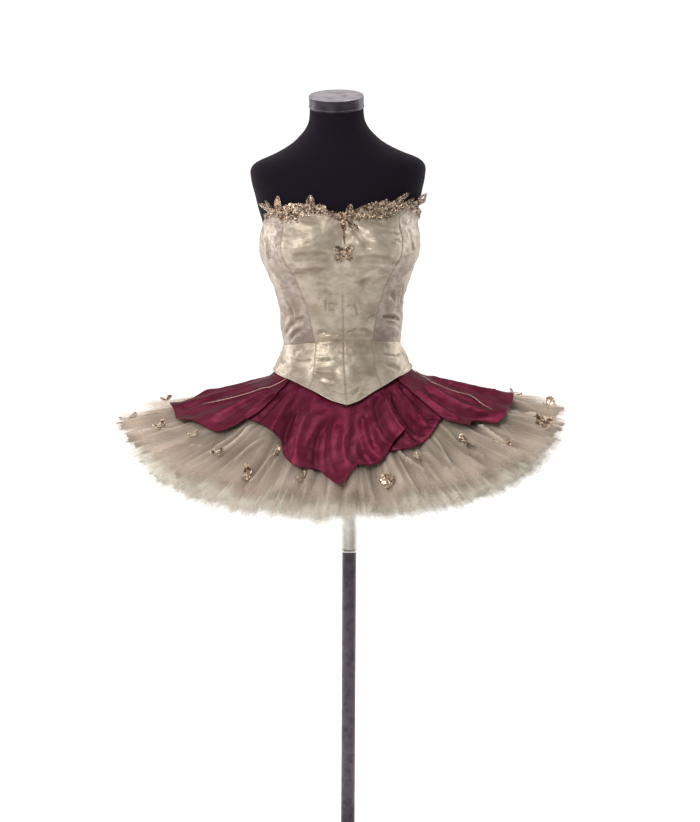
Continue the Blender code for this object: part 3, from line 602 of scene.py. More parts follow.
def band_faces(rows, sides, closed=False):
    """Quads between rings of points, each ring joined to the next."""
    faces = []
    for row in range(rows if closed else rows - 1):
        low, high = row * sides, (row + 1) % rows * sides
        for side in range(sides):
            beside = (side + 1) % sides
            faces.append((low + side, low + beside, high + beside, high + side))
    return faces


def closed_body(name, rings):
    """A closed smooth solid from rings of points, bottom to top, each turning the same way."""
    levels, sides = rings.shape[:2]
    faces = band_faces(levels, sides)
    faces.append(tuple(reversed(range(sides))))
    faces.append(tuple(range((levels - 1) * sides, levels * sides)))
    made = mesh_object(name, rings.reshape(-1, 3), faces)
    made.data.set_sharp_from_angle(angle=math.radians(40))
    return made


def turned(name, outline, sides=72):
    """A solid of revolution about Z from (radius, height), bottom to top."""
    turn = np.linspace(0, 2 * math.pi, sides, endpoint=False)
    rings = [np.stack([r * np.cos(turn), r * np.sin(turn), 0 * turn + z], axis=-1) for r, z in outline]
    return closed_body(name, np.array(rings))


def rounded(radius, low, high, edge, steps=4):
    """The outline of a round plate or rod whose two rims are eased."""
    turns = [math.pi / 2 * step / steps for step in range(steps + 1)]
    foot = [(radius - edge + edge * math.sin(turn), low + edge - edge * math.cos(turn)) for turn in turns]
    head = [(radius - edge + edge * math.cos(turn), high - edge + edge * math.sin(turn)) for turn in turns]
    return foot + head


def tube(name, path, radius, sides=8, closed=False, taper=False):
    """A round cord along a path in the form's frame."""
    path = placed(np.asarray(path))
    if closed:
        tangent = np.roll(path, -1, axis=0) - np.roll(path, 1, axis=0)
    else:
        tangent = np.gradient(path, axis=0)
    tangent /= np.linalg.norm(tangent, axis=1, keepdims=True)
    side = np.cross(tangent, (0.0, 0.0, 1.0))
    side /= np.linalg.norm(side, axis=1, keepdims=True) + 1e-9
    up = np.cross(side, tangent)
    turn = np.linspace(0, 2 * math.pi, sides, endpoint=False)[None, :, None]
    count = len(path)
    from_end = np.minimum(np.arange(count), np.arange(count)[::-1]) / count
    wide = radius * (np.minimum(1.0, 0.15 + 6 * from_end) if taper else np.ones(count))
    rings = path[:, None] + wide[:, None, None] * (np.cos(turn) * side[:, None] + np.sin(turn) * up[:, None])
    faces = band_faces(count, sides, closed)
    if not closed:
        faces.append(tuple(range(sides)))
        faces.append(tuple(reversed(range((count - 1) * sides, count * sides))))
    made = mesh_object(name, rings.reshape(-1, 3), faces)
    made.data.validate()
    return made


# Materials and node trees

class Wire:
    """An output socket of a tree. The usual operators add Math nodes to it."""

    def __init__(self, graph, socket):
        self.graph, self.socket = graph, socket

    def math(self, operation, first, second=0.0):
        return self.graph.add("ShaderNodeMath", {0: first, 1: second}, operation=operation)

    def __add__(self, other):
        return self.math("ADD", self, other)

    def __sub__(self, other):
        return self.math("SUBTRACT", self, other)

    def __rsub__(self, other):
        return self.math("SUBTRACT", other, self)

    def __mul__(self, other):
        return self.math("MULTIPLY", self, other)

    __radd__ = __add__
    __rmul__ = __mul__

    def clear(self, low, high):
        """0 below low, 1 above high, and a soft step between them."""
        values = {"Value": self, "From Min": low, "From Max": high}
        return self.graph.add("ShaderNodeMapRange", values, interpolation_type="SMOOTHSTEP")


class Graph:
    """A node tree, shader or geometry, that is built by calls."""

    def __init__(self, tree):
        self.tree = tree

    def add(self, kind, values=None, output=0, **settings):
        """Adds a node: its settings, then its sockets' values or wires. Gives one output's wire."""
        made = self.tree.nodes.new(kind)
        for key, value in settings.items():
            setattr(made, key, value)
        for key, value in (values or {}).items():
            self.set(made.inputs[key], value)
        return Wire(self, made.outputs[output])

    def set(self, socket, value):
        if isinstance(value, Wire):
            self.tree.links.new(value.socket, socket)
        else:
            socket.default_value = value


class Finish(Graph):
    """A material on a Principled shader."""

    def __init__(self, name, **constants):
        self.material = bpy.data.materials.new(name)
        self.material.use_nodes = True
        super().__init__(self.material.node_tree)
        self.shader = self.tree.nodes["Principled BSDF"]
        self.set_all(**constants)

    def set_all(self, **values):
        for key, value in values.items():
            socket = self.shader.inputs[key.replace("_", " ").title().replace("Ior", "IOR")]
            self.set(socket, (*value, 1.0) if isinstance(value, tuple) and len(value) == 3 else value)

    def metres(self, scale=(1.0, 1.0, 1.0)):
        """The sheet's own measures in metres, stretched by a scale."""
        where = self.add("ShaderNodeTexCoord", output="UV")
        return self.add("ShaderNodeMapping", {"Vector": where, "Scale": scale})

    def place(self, scale=(1.0, 1.0, 1.0)):
        where = self.add("ShaderNodeTexCoord", output="Object")
        return self.add("ShaderNodeMapping", {"Vector": where, "Scale": scale})

    def noise(self, where, scale, detail=3.0, roughness=0.5):
        values = {"Vector": where, "Scale": scale, "Detail": detail, "Roughness": roughness}
        return self.add("ShaderNodeTexNoise", values)

    def mark(self, name):
        return self.add("ShaderNodeAttribute", output="Fac", attribute_name=name)

    def most(self, first, second):
        return self.add("ShaderNodeMath", {0: first, 1: second}, operation="MAXIMUM")

    def blend(self, share, first, second):
        values = {0: share}
        for key, colour in ((6, first), (7, second)):
            values[key] = (*colour, 1.0) if isinstance(colour, tuple) else colour
        return self.add("ShaderNodeMix", values, output=2, data_type="RGBA")

    def bump(self, height, strength, distance):
        values = {"Height": height, "Strength": strength, "Distance": distance}
        return self.add("ShaderNodeBump", values)


def linear(colour):
    """A colour as a screen shows it, 0 to 255, as light."""
    shares = [value / 255 for value in colour]
    return tuple(share / 12.92 if share < 0.0404 else ((share + 0.055) / 1.055) ** 2.4 for share in shares)


def weave(finish, pitch):
    """The height of a plain weave of a given pitch."""
    scale = 1.0 / pitch / 2
    heights = []
    for direction, stretch in (("X", (scale, 0, 0)), ("Y", (0, scale, 0))):
        values = {"Vector": finish.metres(stretch), "Scale": 1.0}
        heights.append(finish.add("ShaderNodeTexWave", values, output="Fac", bands_direction=direction))
    return heights[0] * heights[1]


def satin_finish(name, colour, shadow, tint, roughness, silk=0.40, crush=0.70, shine=0.4, patchy=1.0):
    """Satin: a silky lustre, floats along the length, a soft crush and a fine weave. Its colour holds painted
    light: lighter patches and crush crests as painted sheen, darker crush troughs and creases as painted
    shade, and darker seams.
    """
    finish = Finish(
        name, specular_ior_level=shine, specular_tint=tint, sheen_weight=0.12 * shine, sheen_tint=tint
    )
    cloudy = finish.noise(finish.metres(), 17.0, 3.0, 0.5).clear(0.38, 0.64)
    fine = finish.noise(finish.metres((1.0, 0.12, 1.0)), 900.0, 2.0)
    dark_flecks = finish.noise(finish.metres((1.0, 0.6, 1.0)), 70.0, 5.0, 0.65).clear(0.55, 0.80)
    soft = finish.noise(finish.metres((0.8, 1.0, 1.0)), 24.0, 2.0, 0.5)
    small = finish.noise(finish.metres((0.7, 1.1, 1.0)), 80.0, 3.0, 0.5)
    # Painted sheen and shade: where the crush stands high the colour goes towards the highlight colour, and
    # where it lies low towards the shadow colour, both scaled by patchy; the cloudy patches add painted
    # sheen.
    painted_crest_light = (soft * 0.6 + small * 0.4).clear(0.40, 0.60)
    base = finish.blend(cloudy * 0.30 + painted_crest_light * (0.45 * patchy), colour, tint)
    base = finish.blend((1 - painted_crest_light) * (0.30 * patchy), base, shadow)
    # Painted shade in the creases, and darker seams, from the hollow mark; less metal there too.
    base = finish.blend(finish.mark("hollow").clear(0.05, 1.2) * 0.36, base, shadow)
    # Darker flecks at random.
    base = finish.blend(dark_flecks * 0.10, base, shadow)
    height = soft * 1.0 + small * 0.32 + fine * 0.02 + weave(finish, 0.0005) * 0.008
    finish.set_all(
        base_color=base,
        metallic=silk - finish.mark("hollow") * silk * 0.5,
        roughness=cloudy * 0.08 + fine * 0.08 + (roughness - 0.08),
        normal=finish.bump(height, crush, 0.0062),
    )
    return finish.material


def net_finish(name, light, dark, body_cover, hem_cover):
    """Stiff net: fine threads, cloudy at random and thinner towards the hem. Its colour holds painted light:
    shade towards the waist and in the troughs, highlights towards the hem and on the crests and ridges.
    """
    finish = Finish(name, roughness=0.85, specular_ior_level=0.2, sheen_weight=0.2, sheen_roughness=0.6)
    hem = finish.mark("hem")
    ridge = finish.mark("ridge")
    cloudy = finish.noise(finish.metres((1.0, 0.45, 1.0)), 20.0, 3.0, 0.5).clear(0.32, 0.72)
    strands = finish.noise(finish.metres((1.0, 0.06, 1.0)), 330.0, 3.0, 0.6)
    wide_strands = finish.noise(finish.metres((1.0, 0.16, 1.0)), 70.0, 3.0, 0.55)
    pale = tuple(min(1.0, value * 1.30) for value in light)
    # Darker near the waist as painted shade under the petals and upper plies, lighter towards the hem as
    # painted light, with random clouds.
    base = finish.blend(cloudy * 0.5 + hem.clear(0.30, 0.95) * 0.5, dark, light)
    # Painted highlight: paler still near the hem and on the crests and ridges.
    base = finish.blend(finish.most(hem.clear(0.72, 1.0) * 0.8, ridge * 0.8), base, pale)
    # Painted shade in the troughs of the ruffles.
    base = finish.blend(finish.mark("trough") * 0.6, base, dark)
    frayed = (strands * 0.35 + wide_strands * 0.65 + 0.44 - hem.clear(0.86, 1.0) * 0.40).clear(0.36, 0.60)
    thinned = hem.clear(0.55, 1.0)
    cover = (cloudy * 0.24 + (body_cover - 0.12)) * (1 - thinned) + thinned * hem_cover
    cover = (cover + ridge * 0.35) * frayed * (1 - hem.clear(0.90, 1.0) * 0.70)
    finish.set_all(
        base_color=base,
        alpha=finish.add("ShaderNodeClamp", {"Value": cover}),
        normal=finish.bump(strands * 0.12 + wide_strands * 0.5 + cloudy * 0.5, 0.30, 0.002),
    )
    return finish.material


def metal_finish(name, colour, dark, roughness, metallic):
    """Metal or enamel with faint handling marks."""
    finish = Finish(name, metallic=metallic)
    marks = finish.noise(finish.place((60.0, 60.0, 60.0)), 1.0, 4.0, 0.6)
    finish.set_all(
        base_color=finish.blend(marks.clear(0.35, 0.75), colour, dark),
        roughness=marks * 0.16 + (roughness - 0.08),
        normal=finish.bump(marks, 0.06, 0.0006),
    )
    return finish.material


def jersey_finish(name, colour, light):
    """Matt knitted jersey with faint lint."""
    finish = Finish(name, roughness=0.88, specular_ior_level=0.12, sheen_weight=0.02, sheen_roughness=0.45)
    lint = finish.noise(finish.place(), 260.0, 3.0, 0.7).clear(0.58, 0.80)
    values = {"Vector": finish.place(), "Scale": 420.0, "Distortion": 0.6}
    knit = finish.add("ShaderNodeTexWave", values, output="Fac")
    finish.set_all(
        base_color=finish.blend(lint * 0.12, colour, light),
        normal=finish.bump(knit * 0.5 + lint * 0.5, 0.10, 0.0005),
    )
    return finish.material


def bead_finish(name, dark, bright, roughness, metallic):
    """Aged gilt: each bead a little different, tarnished in patches."""
    finish = Finish(name, metallic=metallic, coat_roughness=0.1)
    where = finish.place()
    each = finish.add("ShaderNodeTexVoronoi", {"Vector": where, "Scale": 240.0}, output="Color")
    share = finish.add("ShaderNodeSeparateColor", {"Color": each})
    tarnish = finish.noise(where, 160.0, 3.0, 0.6).clear(0.45, 0.70)
    finish.set_all(
        base_color=finish.blend(tarnish * 0.5, finish.blend(share.clear(0.2, 0.8), bright, dark), dark),
        roughness=share * 0.16 + roughness,
        coat_weight=share * 0.6,
        normal=finish.bump(tarnish, 0.15, 0.0006),
    )
    return finish.material


# What repeats

class Copies(Graph):
    """A Geometry Nodes tree with named inputs that ends in Realize Instances and Set Material."""

    def __init__(self, name, inputs):
        super().__init__(bpy.data.node_groups.new(name, "GeometryNodeTree"))
        socket = self.tree.interface.new_socket
        socket("Geometry", in_out="INPUT", socket_type="NodeSocketGeometry")
        socket("Geometry", in_out="OUTPUT", socket_type="NodeSocketGeometry")
        self.names = {}
        for label, kind in {**inputs, "Material": "Material"}.items():
            made = socket(label, in_out="INPUT", socket_type=f"NodeSocket{kind}")
            self.names[label] = made.identifier
        self.entry = self.tree.nodes.new("NodeGroupInput")

    def input(self, label):
        return Wire(self, self.entry.outputs[label])

    def random(self, low, high, seed):
        values = {2: low, 3: high, "Seed": seed}
        return self.add("FunctionNodeRandomValue", values, output=1, data_type="FLOAT")

    def end(self, instances):
        real = self.add("GeometryNodeRealizeInstances", {"Geometry": instances})
        coated = self.add("GeometryNodeSetMaterial", {"Geometry": real, "Material": self.input("Material")})
        result = self.tree.nodes.new("NodeGroupOutput")
        self.tree.links.new(coated.socket, result.inputs["Geometry"])

    def run(self, name, carrier, values, material, facets=False):
        """Runs the tree on a carrier and gives the result as a plain mesh object in its place."""
        modifier = carrier.modifiers.new("copies", "NODES")
        modifier.node_group = self.tree
        for label, value in {**values, "Material": material}.items():
            modifier[self.names[label]] = value
        graph = bpy.context.evaluated_depsgraph_get()
        mesh = bpy.data.meshes.new_from_object(carrier.evaluated_get(graph), depsgraph=graph)
        bpy.data.objects.remove(carrier)
        mesh.name = name
        if facets:
            mesh.shade_flat()
        else:
            mesh.shade_smooth()
        return linked(name, mesh)


def bead_tree():
    """Round beads of uneven size and turn, sewn at points, each as large as its point says."""
    tree = Copies("sewn_beads", {"Squash": "Float", "Roundness": "Int", "Seed": "Int"})
    bead = tree.add("GeometryNodeMeshIcoSphere", {"Radius": 1.0, "Subdivisions": tree.input("Roundness")})
    size = tree.add("GeometryNodeInputNamedAttribute", {"Name": "radius"}, data_type="FLOAT")
    flat = tree.add("ShaderNodeCombineXYZ", {0: size, 1: size, 2: size * tree.input("Squash")})
    values = {0: (0.0, 0.0, 0.0), 1: (6.28, 6.28, 6.28), "Seed": tree.input("Seed")}
    turn = tree.add("FunctionNodeRandomValue", values, data_type="FLOAT_VECTOR")
    points = {"Points": tree.input("Geometry"), "Instance": bead, "Rotation": turn, "Scale": flat}
    tree.end(tree.add("GeometryNodeInstanceOnPoints", points))
    return tree


def thread_tree():
    """Frayed threads of uneven length along a hem, each bent, thin at its tip and splayed about its way."""
    inputs = {"Length": "Float", "Thickness": "Float", "Splay": "Float", "Seed": "Int"}
    tree = Copies("frayed_threads", inputs)
    bend = {"Start": (0.0, 0.0, 0.0), "Middle": (0.10, 0.0, 0.55), "End": (-0.16, 0.05, 1.0)}
    values = {"Resolution": 3, **bend}
    line = tree.add("GeometryNodeCurveQuadraticBezier", values)
    along = tree.add("GeometryNodeSplineParameter", output="Factor")
    values = {"Resolution": 3, "Radius": tree.input("Thickness")}
    round_wire = tree.add("GeometryNodeCurvePrimitiveCircle", values)
    values = {"Curve": line, "Profile Curve": round_wire, "Scale": 1.0 - along * 0.75}
    thread = tree.add("GeometryNodeCurveToMesh", values)
    away = tree.add("GeometryNodeInputNamedAttribute", {"Name": "away"}, data_type="FLOAT_VECTOR")
    seed = tree.input("Seed")
    values = {0: (-1.0, -1.0, -1.0), 1: (1.0, 1.0, 1.0), "Seed": seed}
    shift = tree.add("FunctionNodeRandomValue", values, data_type="FLOAT_VECTOR")
    spread = tree.add("ShaderNodeVectorMath", {0: shift, "Scale": tree.input("Splay")}, operation="SCALE")
    aim = tree.add("ShaderNodeVectorMath", {0: away, 1: spread}, operation="ADD")
    facing = tree.add("FunctionNodeAlignRotationToVector", {"Vector": aim}, axis="Z")
    spin = tree.random(0.0, 6.28, seed + 3)
    spun = tree.add("ShaderNodeCombineXYZ", {2: spin})
    values = {0: facing, 1: spun}
    turned_thread = tree.add("FunctionNodeRotateRotation", values, rotation_space="LOCAL")
    long = tree.random(0.25, 1.0, seed + 7)
    long = long * long * tree.input("Length")
    scale = tree.add("ShaderNodeCombineXYZ", {0: long, 1: long, 2: long})
    points = {"Points": tree.input("Geometry"), "Instance": thread, "Rotation": turned_thread, "Scale": scale}
    tree.end(tree.add("GeometryNodeInstanceOnPoints", points))
    return tree


def carrier(points, **attributes):
    """Bare points that a tree sets its copies on."""
    mesh = bpy.data.meshes.new("carrier")
    mesh.from_pydata(np.asarray(points).tolist(), [], [])
    for label, values in attributes.items():
        values = np.asarray(values, dtype=float)
        kind, key = ("FLOAT", "value") if values.ndim == 1 else ("FLOAT_VECTOR", "vector")
        mesh.attributes.new(label, kind, "POINT").data.foreach_set(key, values.ravel())
    return linked("carrier", mesh)


def sewn(points, radii, finish, seed, roundness=1):
    """Beads at points of the form's frame, as one mesh."""
    spots = carrier(placed(np.asarray(points)), radius=radii)
    values = {"Squash": 0.8, "Roundness": roundness, "Seed": seed}
    return bead_tree().run("beads", spots, values, finish, facets=True)


def joined(name, pieces):
    """Joins meshes into one object of a given name."""
    with bpy.context.temp_override(active_object=pieces[0], selected_editable_objects=pieces):
        bpy.ops.object.join()
    pieces[0].name = name
    pieces[0].data.name = name
    return pieces[0]


def measures(grid, closed=False):
    """Distances across and along a grid, in metres, for its UV map."""
    whole = np.concatenate([grid, grid[:, :1]], axis=1) if closed else grid
    across = np.linalg.norm(np.diff(whole, axis=1, prepend=whole[:, :1]), axis=-1).cumsum(axis=1)
    along = np.linalg.norm(np.diff(whole, axis=0, prepend=whole[:1]), axis=-1).cumsum(axis=0)
    return across, along


# Stand and form

def make_stand(colours):
    """Base, pole and collar, turned on the stand's own upright axis."""
    enamel = metal_finish("base_enamel", colours.pole[:], linear((40, 34, 42)), 0.45, 0.3)
    pole_enamel = metal_finish("pole_enamel", colours.pole[:], linear((64, 56, 66)), 0.40, 0.4)
    chrome = metal_finish("collar_chrome", colours.chrome[:], linear((176, 168, 160)), 0.16, 1.0)
    foot = BASE_THICKNESS + 0.004
    plate = rounded(BASE_RADIUS, 0.0, BASE_THICKNESS, 0.003)[:-1]
    hub = [(HUB_RADIUS + 0.006, foot), (HUB_RADIUS + 0.001, foot + 0.002), (HUB_RADIUS, foot + 0.006)]
    head = rounded(HUB_RADIUS - 0.001, foot + 0.010, HUB_HEIGHT, 0.002)[5:]
    base = turned("base", plate + hub + head, 128)
    finish_piece(base, "base_enamel", ["base"], enamel)
    pole = turned("pole", rounded(POLE_RADIUS, HUB_HEIGHT + SEAM, COLLAR_BOTTOM - SEAM, 0.0006), 64)
    finish_piece(pole, "pole_enamel", ["pole"], pole_enamel)
    top = WAIST_HEIGHT + FORM_BOTTOM - LEAN_ROOM
    roll = rounded(COLLAR_RADIUS + 0.0007, COLLAR_BOTTOM, COLLAR_BOTTOM + 0.006, 0.0022)
    sleeve = [(COLLAR_RADIUS - 0.0004, COLLAR_BOTTOM + 0.0068), (COLLAR_RADIUS - 0.0004, top - 0.014)]
    flare = [(COLLAR_RADIUS + 0.0012, top - 0.010), (COLLAR_RADIUS + 0.006, top - 0.0072)]
    flange = rounded(COLLAR_FLANGE, top - 0.0055, top, 0.0015)
    collar = turned("collar", roll + sleeve + flare + flange, 128)
    finish_piece(collar, "collar_chrome", ["collar"], chrome)


def form_rings(heights, outs, sides=144):
    angle = np.arange(sides) * 360.0 / sides
    return [body(angle, np.full(sides, height), out) for height, out in zip(heights, outs)]


def make_form(colours):
    """The limbless torso and its tilted neck cap."""
    jersey = jersey_finish("form_jersey", colours.jersey[:], linear((84, 72, 88)))
    edge = 0.026
    turns = np.linspace(0, math.pi / 2, 9)
    low = [(FORM_BOTTOM + edge * (1 - math.cos(turn)), 0.030 - 0.0274 * math.sin(turn)) for turn in turns]
    heights = [height for height, _ in low] + list(np.linspace(FORM_BOTTOM + edge + 0.006, NECK_TOP, 118))
    pulled = [inward for _, inward in low]
    pulled += [FORM_SLACK * (1.0 - float(smooth((height - 0.30) / 0.04))) for height in heights[len(low):]]
    rings = form_rings(heights, [-inward for inward in pulled])
    for ring_points, height in zip(rings, heights):
        share = smooth((height - (NECK_TOP - 0.03)) / 0.03)
        ring_points[:, 2] += share * NECK_TILT_FRONT * ring_points[:, 1] / NECK_DEPTH
    torso = closed_body("form_torso", placed(np.array(rings)))
    finish_piece(torso, "form_jersey", ["form_torso"], jersey)

    pewter = metal_finish("cap_pewter", colours.pewter[:], linear((120, 112, 120)), 0.38, 0.55)
    # The side faces take this darker copy of the pewter as painted shade; the top faces take the lighter
    # pewter.
    shade = metal_finish("cap_pewter_side", linear((66, 60, 68)), linear((44, 38, 46)), 0.45, 0.6)
    neck = body(np.arange(144) * 2.5, np.full(144, NECK_TOP), 0.0)
    middle = neck.mean(axis=0)
    flat = (neck - middle) / np.linalg.norm(neck - middle, axis=1, keepdims=True)
    low_tilt = NECK_TILT_FRONT / NECK_DEPTH
    levels = ((0.0, 0.0002), (0.0008, 0.0012), (0.0022, 0.0018), (0.0034, 0.0016), (0.0040, 0.0006))
    levels += ((0.0050, 0.0006), (CAP_HEIGHT - 0.0040, 0.0008), (CAP_HEIGHT - 0.0030, 0.0014))
    levels += ((CAP_HEIGHT - 0.0015, 0.0015), (CAP_HEIGHT - 0.0004, 0.0006), (CAP_HEIGHT, -0.0012))
    rings = []
    for rise, wider in levels:
        tilt = low_tilt + (math.tan(CAP_TILT) - low_tilt) * rise / CAP_HEIGHT
        up = np.stack([0 * neck[:, 0], 0 * neck[:, 0], SEAM + rise + tilt * neck[:, 1]], axis=-1)
        rings.append(neck + flat * wider + up)
    cap = closed_body("neck_cap", placed(np.array(rings)))
    finish_piece(cap, "cap_pewter", ["neck_cap"], pewter, shade)
    # Faces that look up get the lighter pewter, the rest the painted shade copy.
    for face in cap.data.polygons:
        face.material_index = 0 if face.normal.z > 0.6 else 1


def make_yoke(colours):
    """The cotton band round the hips that the skirts are sewn to."""
    pale = colours.pale_net[:]
    # The cotton takes painted shade in the troughs of its crush, in the net's shadow colour.
    cotton = satin_finish("yoke_cotton", pale, colours.net_shadow[:], pale, 0.85, 0.0)
    angle = np.arange(240) * 1.5
    height = np.linspace(YOKE_BOTTOM, YOKE_TOP, 20)[:, None]
    grid = body(angle[None, :], height, SEAM - FORM_SLACK + YOKE_CLOTH)
    band = cloth("hip_yoke", grid, *measures(grid, closed=True), closed=True)
    thicken(band, YOKE_CLOTH - 0.0002)
    declare_sheet(grid, closed=True)
    finish_piece(band, "yoke_cotton", ["hip_yoke"], cotton)


# Bodice and basque

# Columns: name, first seam, second seam, columns of points
PANELS = (
    ("centre_front", "centre", "front", 36),
    ("side_front", "front", "side", 46),
    ("side_back", "side", "back", 46),
    ("back", "back", "middle_back", 28),
)
BODICE_ROWS = 84
BASQUE_ROWS = 36
SEAM_DIP = 0.0005
SEAM_HALF = 0.0012
PUCKER = 0.00035
SATIN_WALL = 0.0009
CREASE_DEPTH = 1.4
BODY_RADIUS = 0.13
HIP_RADIUS = 0.14
BODICE_CRUMPLE = 0.00125
BASQUE_CRUMPLE = 0.00080
CRUMPLE_WAVES = 26
SIDES = ((1, "left"), (-1, "right"))


def seam_angle(name, height):
    front, back = read(PRINCESS, height)
    known = {"centre": 0.0 * front, "front": front, "side": 0.0 * front + 90.0, "back": back}
    return known.get(name, 0.0 * front + 180.0)


def seam_relief(share, width, run, seed):
    """A dip along both seams of a panel, with small puckers beside them that fade away."""
    beside = np.minimum(share, 1 - share) * width
    dip = -SEAM_DIP * bell(beside, SEAM_HALF)
    wave = np.sin(run / 0.0105 * 2 * math.pi + 2.4 * np.sin(run * 61.0 + seed) + seed)
    near = bell(beside, 0.0075) * (1 - bell(beside, SEAM_HALF))
    return dip + PUCKER * wave * near


def seam_share(share, width):
    """1 at both seams of a panel, falling to 0 a little way in."""
    return bell(np.minimum(share, 1 - share) * width, 1.6 * SEAM_HALF)


def crumple(first, second, seed):
    """Soft uneven puckers in all directions over a cloth, from plane waves; both measures in metres."""
    draws = np.random.default_rng(seed)
    total = 0.0
    for _ in range(CRUMPLE_WAVES):
        turn, pitch = draws.normal(math.pi / 2, 0.7), draws.uniform(0.014, 0.052)
        phase = (first * math.cos(turn) + second * math.sin(turn)) / pitch * 2 * math.pi
        total = total + np.sin(phase + draws.uniform(0, 2 * math.pi)) * pitch / 0.052
    return total / math.sqrt(CRUMPLE_WAVES)


def bodice_grid(first, second, side, columns):
    share = np.linspace(0, 1, columns + 1)[None, :]
    level = np.linspace(0, 1, BODICE_ROWS + 1)[:, None]
    height = np.full((BODICE_ROWS + 1, columns + 1), 0.12)
    for _ in range(8):
        low, high = seam_angle(first, height), seam_angle(second, height)
        angle = low + (high - low) * share
        bottom = waist_rise(angle)
        height = bottom + (neckline(side * angle) - bottom) * level
    width = np.radians(high - low) * BODY_RADIUS
    seamed = seam_relief(share, width, height, side + columns)
    stitched = seam_share(share, width)
    if first == "centre":
        shown = np.maximum(smooth((0.125 - height) / 0.03), smooth((share - 0.3) / 0.2))
        seamed, stitched = seamed * shown, stitched * shown
    stitched = np.maximum(stitched, bell(height - bottom, 0.0020))
    angle = side * angle
    edge = neckline(angle) - height
    creases = CREASE_DEPTH * strokes(CREASES, angle, height)
    crushed = BODICE_CRUMPLE * crumple(np.radians(angle) * BODY_RADIUS, height, 31)
    relief = creases + seamed + crushed * smooth(edge / 0.02)
    relief = relief - 0.0009 * bell(edge, 0.0016) - 0.0007 * bell(edge - 0.0075, 0.0009)
    relief = relief - 0.0007 * bell(height - bottom, SEAM_HALF)
    return body(angle, height, CLOTH_OUT + relief), satin_marks(creases, relief, stitched)


def basque_grid(first, second, side, columns):
    share = np.linspace(0, 1, columns + 1)[None, :]
    level = np.linspace(0, 1, BASQUE_ROWS + 1)[:, None]
    along = np.full((BASQUE_ROWS + 1, columns + 1), 0.05)
    for _ in range(8):
        low, high = seam_angle(first, -along), seam_angle(second, -along)
        angle = low + (high - low) * share
        along = basque_length(angle) * level
    width = np.radians(high - low) * HIP_RADIUS
    angle = side * angle
    creases = CREASE_DEPTH * strokes(BASQUE_CREASES, angle, along)
    edge = basque_length(angle) - along
    relief = creases + seam_relief(share, width, along, side + columns + 0.5)
    relief = relief + BASQUE_CRUMPLE * crumple(np.radians(angle) * HIP_RADIUS, along, 32)
    relief = relief - 0.0007 * bell(edge - 0.0030, 0.0009) - 0.0007 * bell(along, SEAM_HALF)
    points = guide(angle, along, basque_lift(along) + relief)
    return points, satin_marks(creases, relief, seam_share(share, width))


def satin_marks(creases, relief, stitched):
    """How deep a point lies in a crease or a seam, for the painted shade that the satin's colour takes there.
    """
    hollow = -(creases + 0.6 * (relief - creases)) / 0.0016
    return {"hollow": np.clip(np.maximum(hollow, 1.3 * stitched), 0.0, 1.3)}


def champagne(colours, name, colour):
    found = bpy.data.materials.get(name)
    return found or satin_finish(name, colour, colours.satin_shadow[:], colours.satin_highlight[:], 0.37)


def make_panels(part, shape, front, others):
    """The eight panels of a part, the front two in a satin of their own."""
    for side, side_name in SIDES:
        for name, first, second, columns in PANELS:
            node = f"{part}_{name}_{side_name}"
            grid, marks = shape(first, second, side, columns)
            panel = cloth(node, grid, *measures(grid), marks=marks)
            thicken(panel, SATIN_WALL)
            declare_sheet(grid)
            finish_piece(panel, "champagne_satin", [node], front if name == "centre_front" else others)


def make_bodice(colours):
    """Eight boned panels above the waist seam."""
    front = champagne(colours, "front_satin", colours.satin[:])
    make_panels("bodice", bodice_grid, front, champagne(colours, "side_satin", colours.satin_side[:]))


def make_basque(colours):
    """Eight basque panels and the piping along their lower edge."""
    satin = champagne(colours, "front_satin", colours.satin[:])
    make_panels("basque", basque_grid, satin, satin)
    # The piping takes the satin's painted highlight colour.
    pale = champagne(colours, "piping_satin", colours.satin_highlight[:])
    angle = np.linspace(-180, 180, 361)[:-1]
    edge = basque_length(angle) + 0.0006
    piping = tube("basque_piping", guide(angle, edge, basque_lift(edge)), 0.0012, sides=8, closed=True)
    finish_piece(piping, "champagne_satin", [], pale)


# Skirts

PETAL_ROWS = 76
PETAL_COLUMNS = 96
EDGE_CURL = 0.0022


def petal_points(name, ply, angle, along):
    """Points of a petal: the guide's folds, its ply's lift, a soft crumple and a hem that curls a little."""
    hem = read(HEMS[name], angle)[0]
    curl = EDGE_CURL * smooth(1 - (hem - along) / 0.028)
    ripple = 0.0006 * crumple(angle * FOLD_DEGREE, along, 40 + ply) * smooth((along - 0.09) / 0.05)
    return guide(angle, along, petal_lift(ply, along) + curl + ripple)


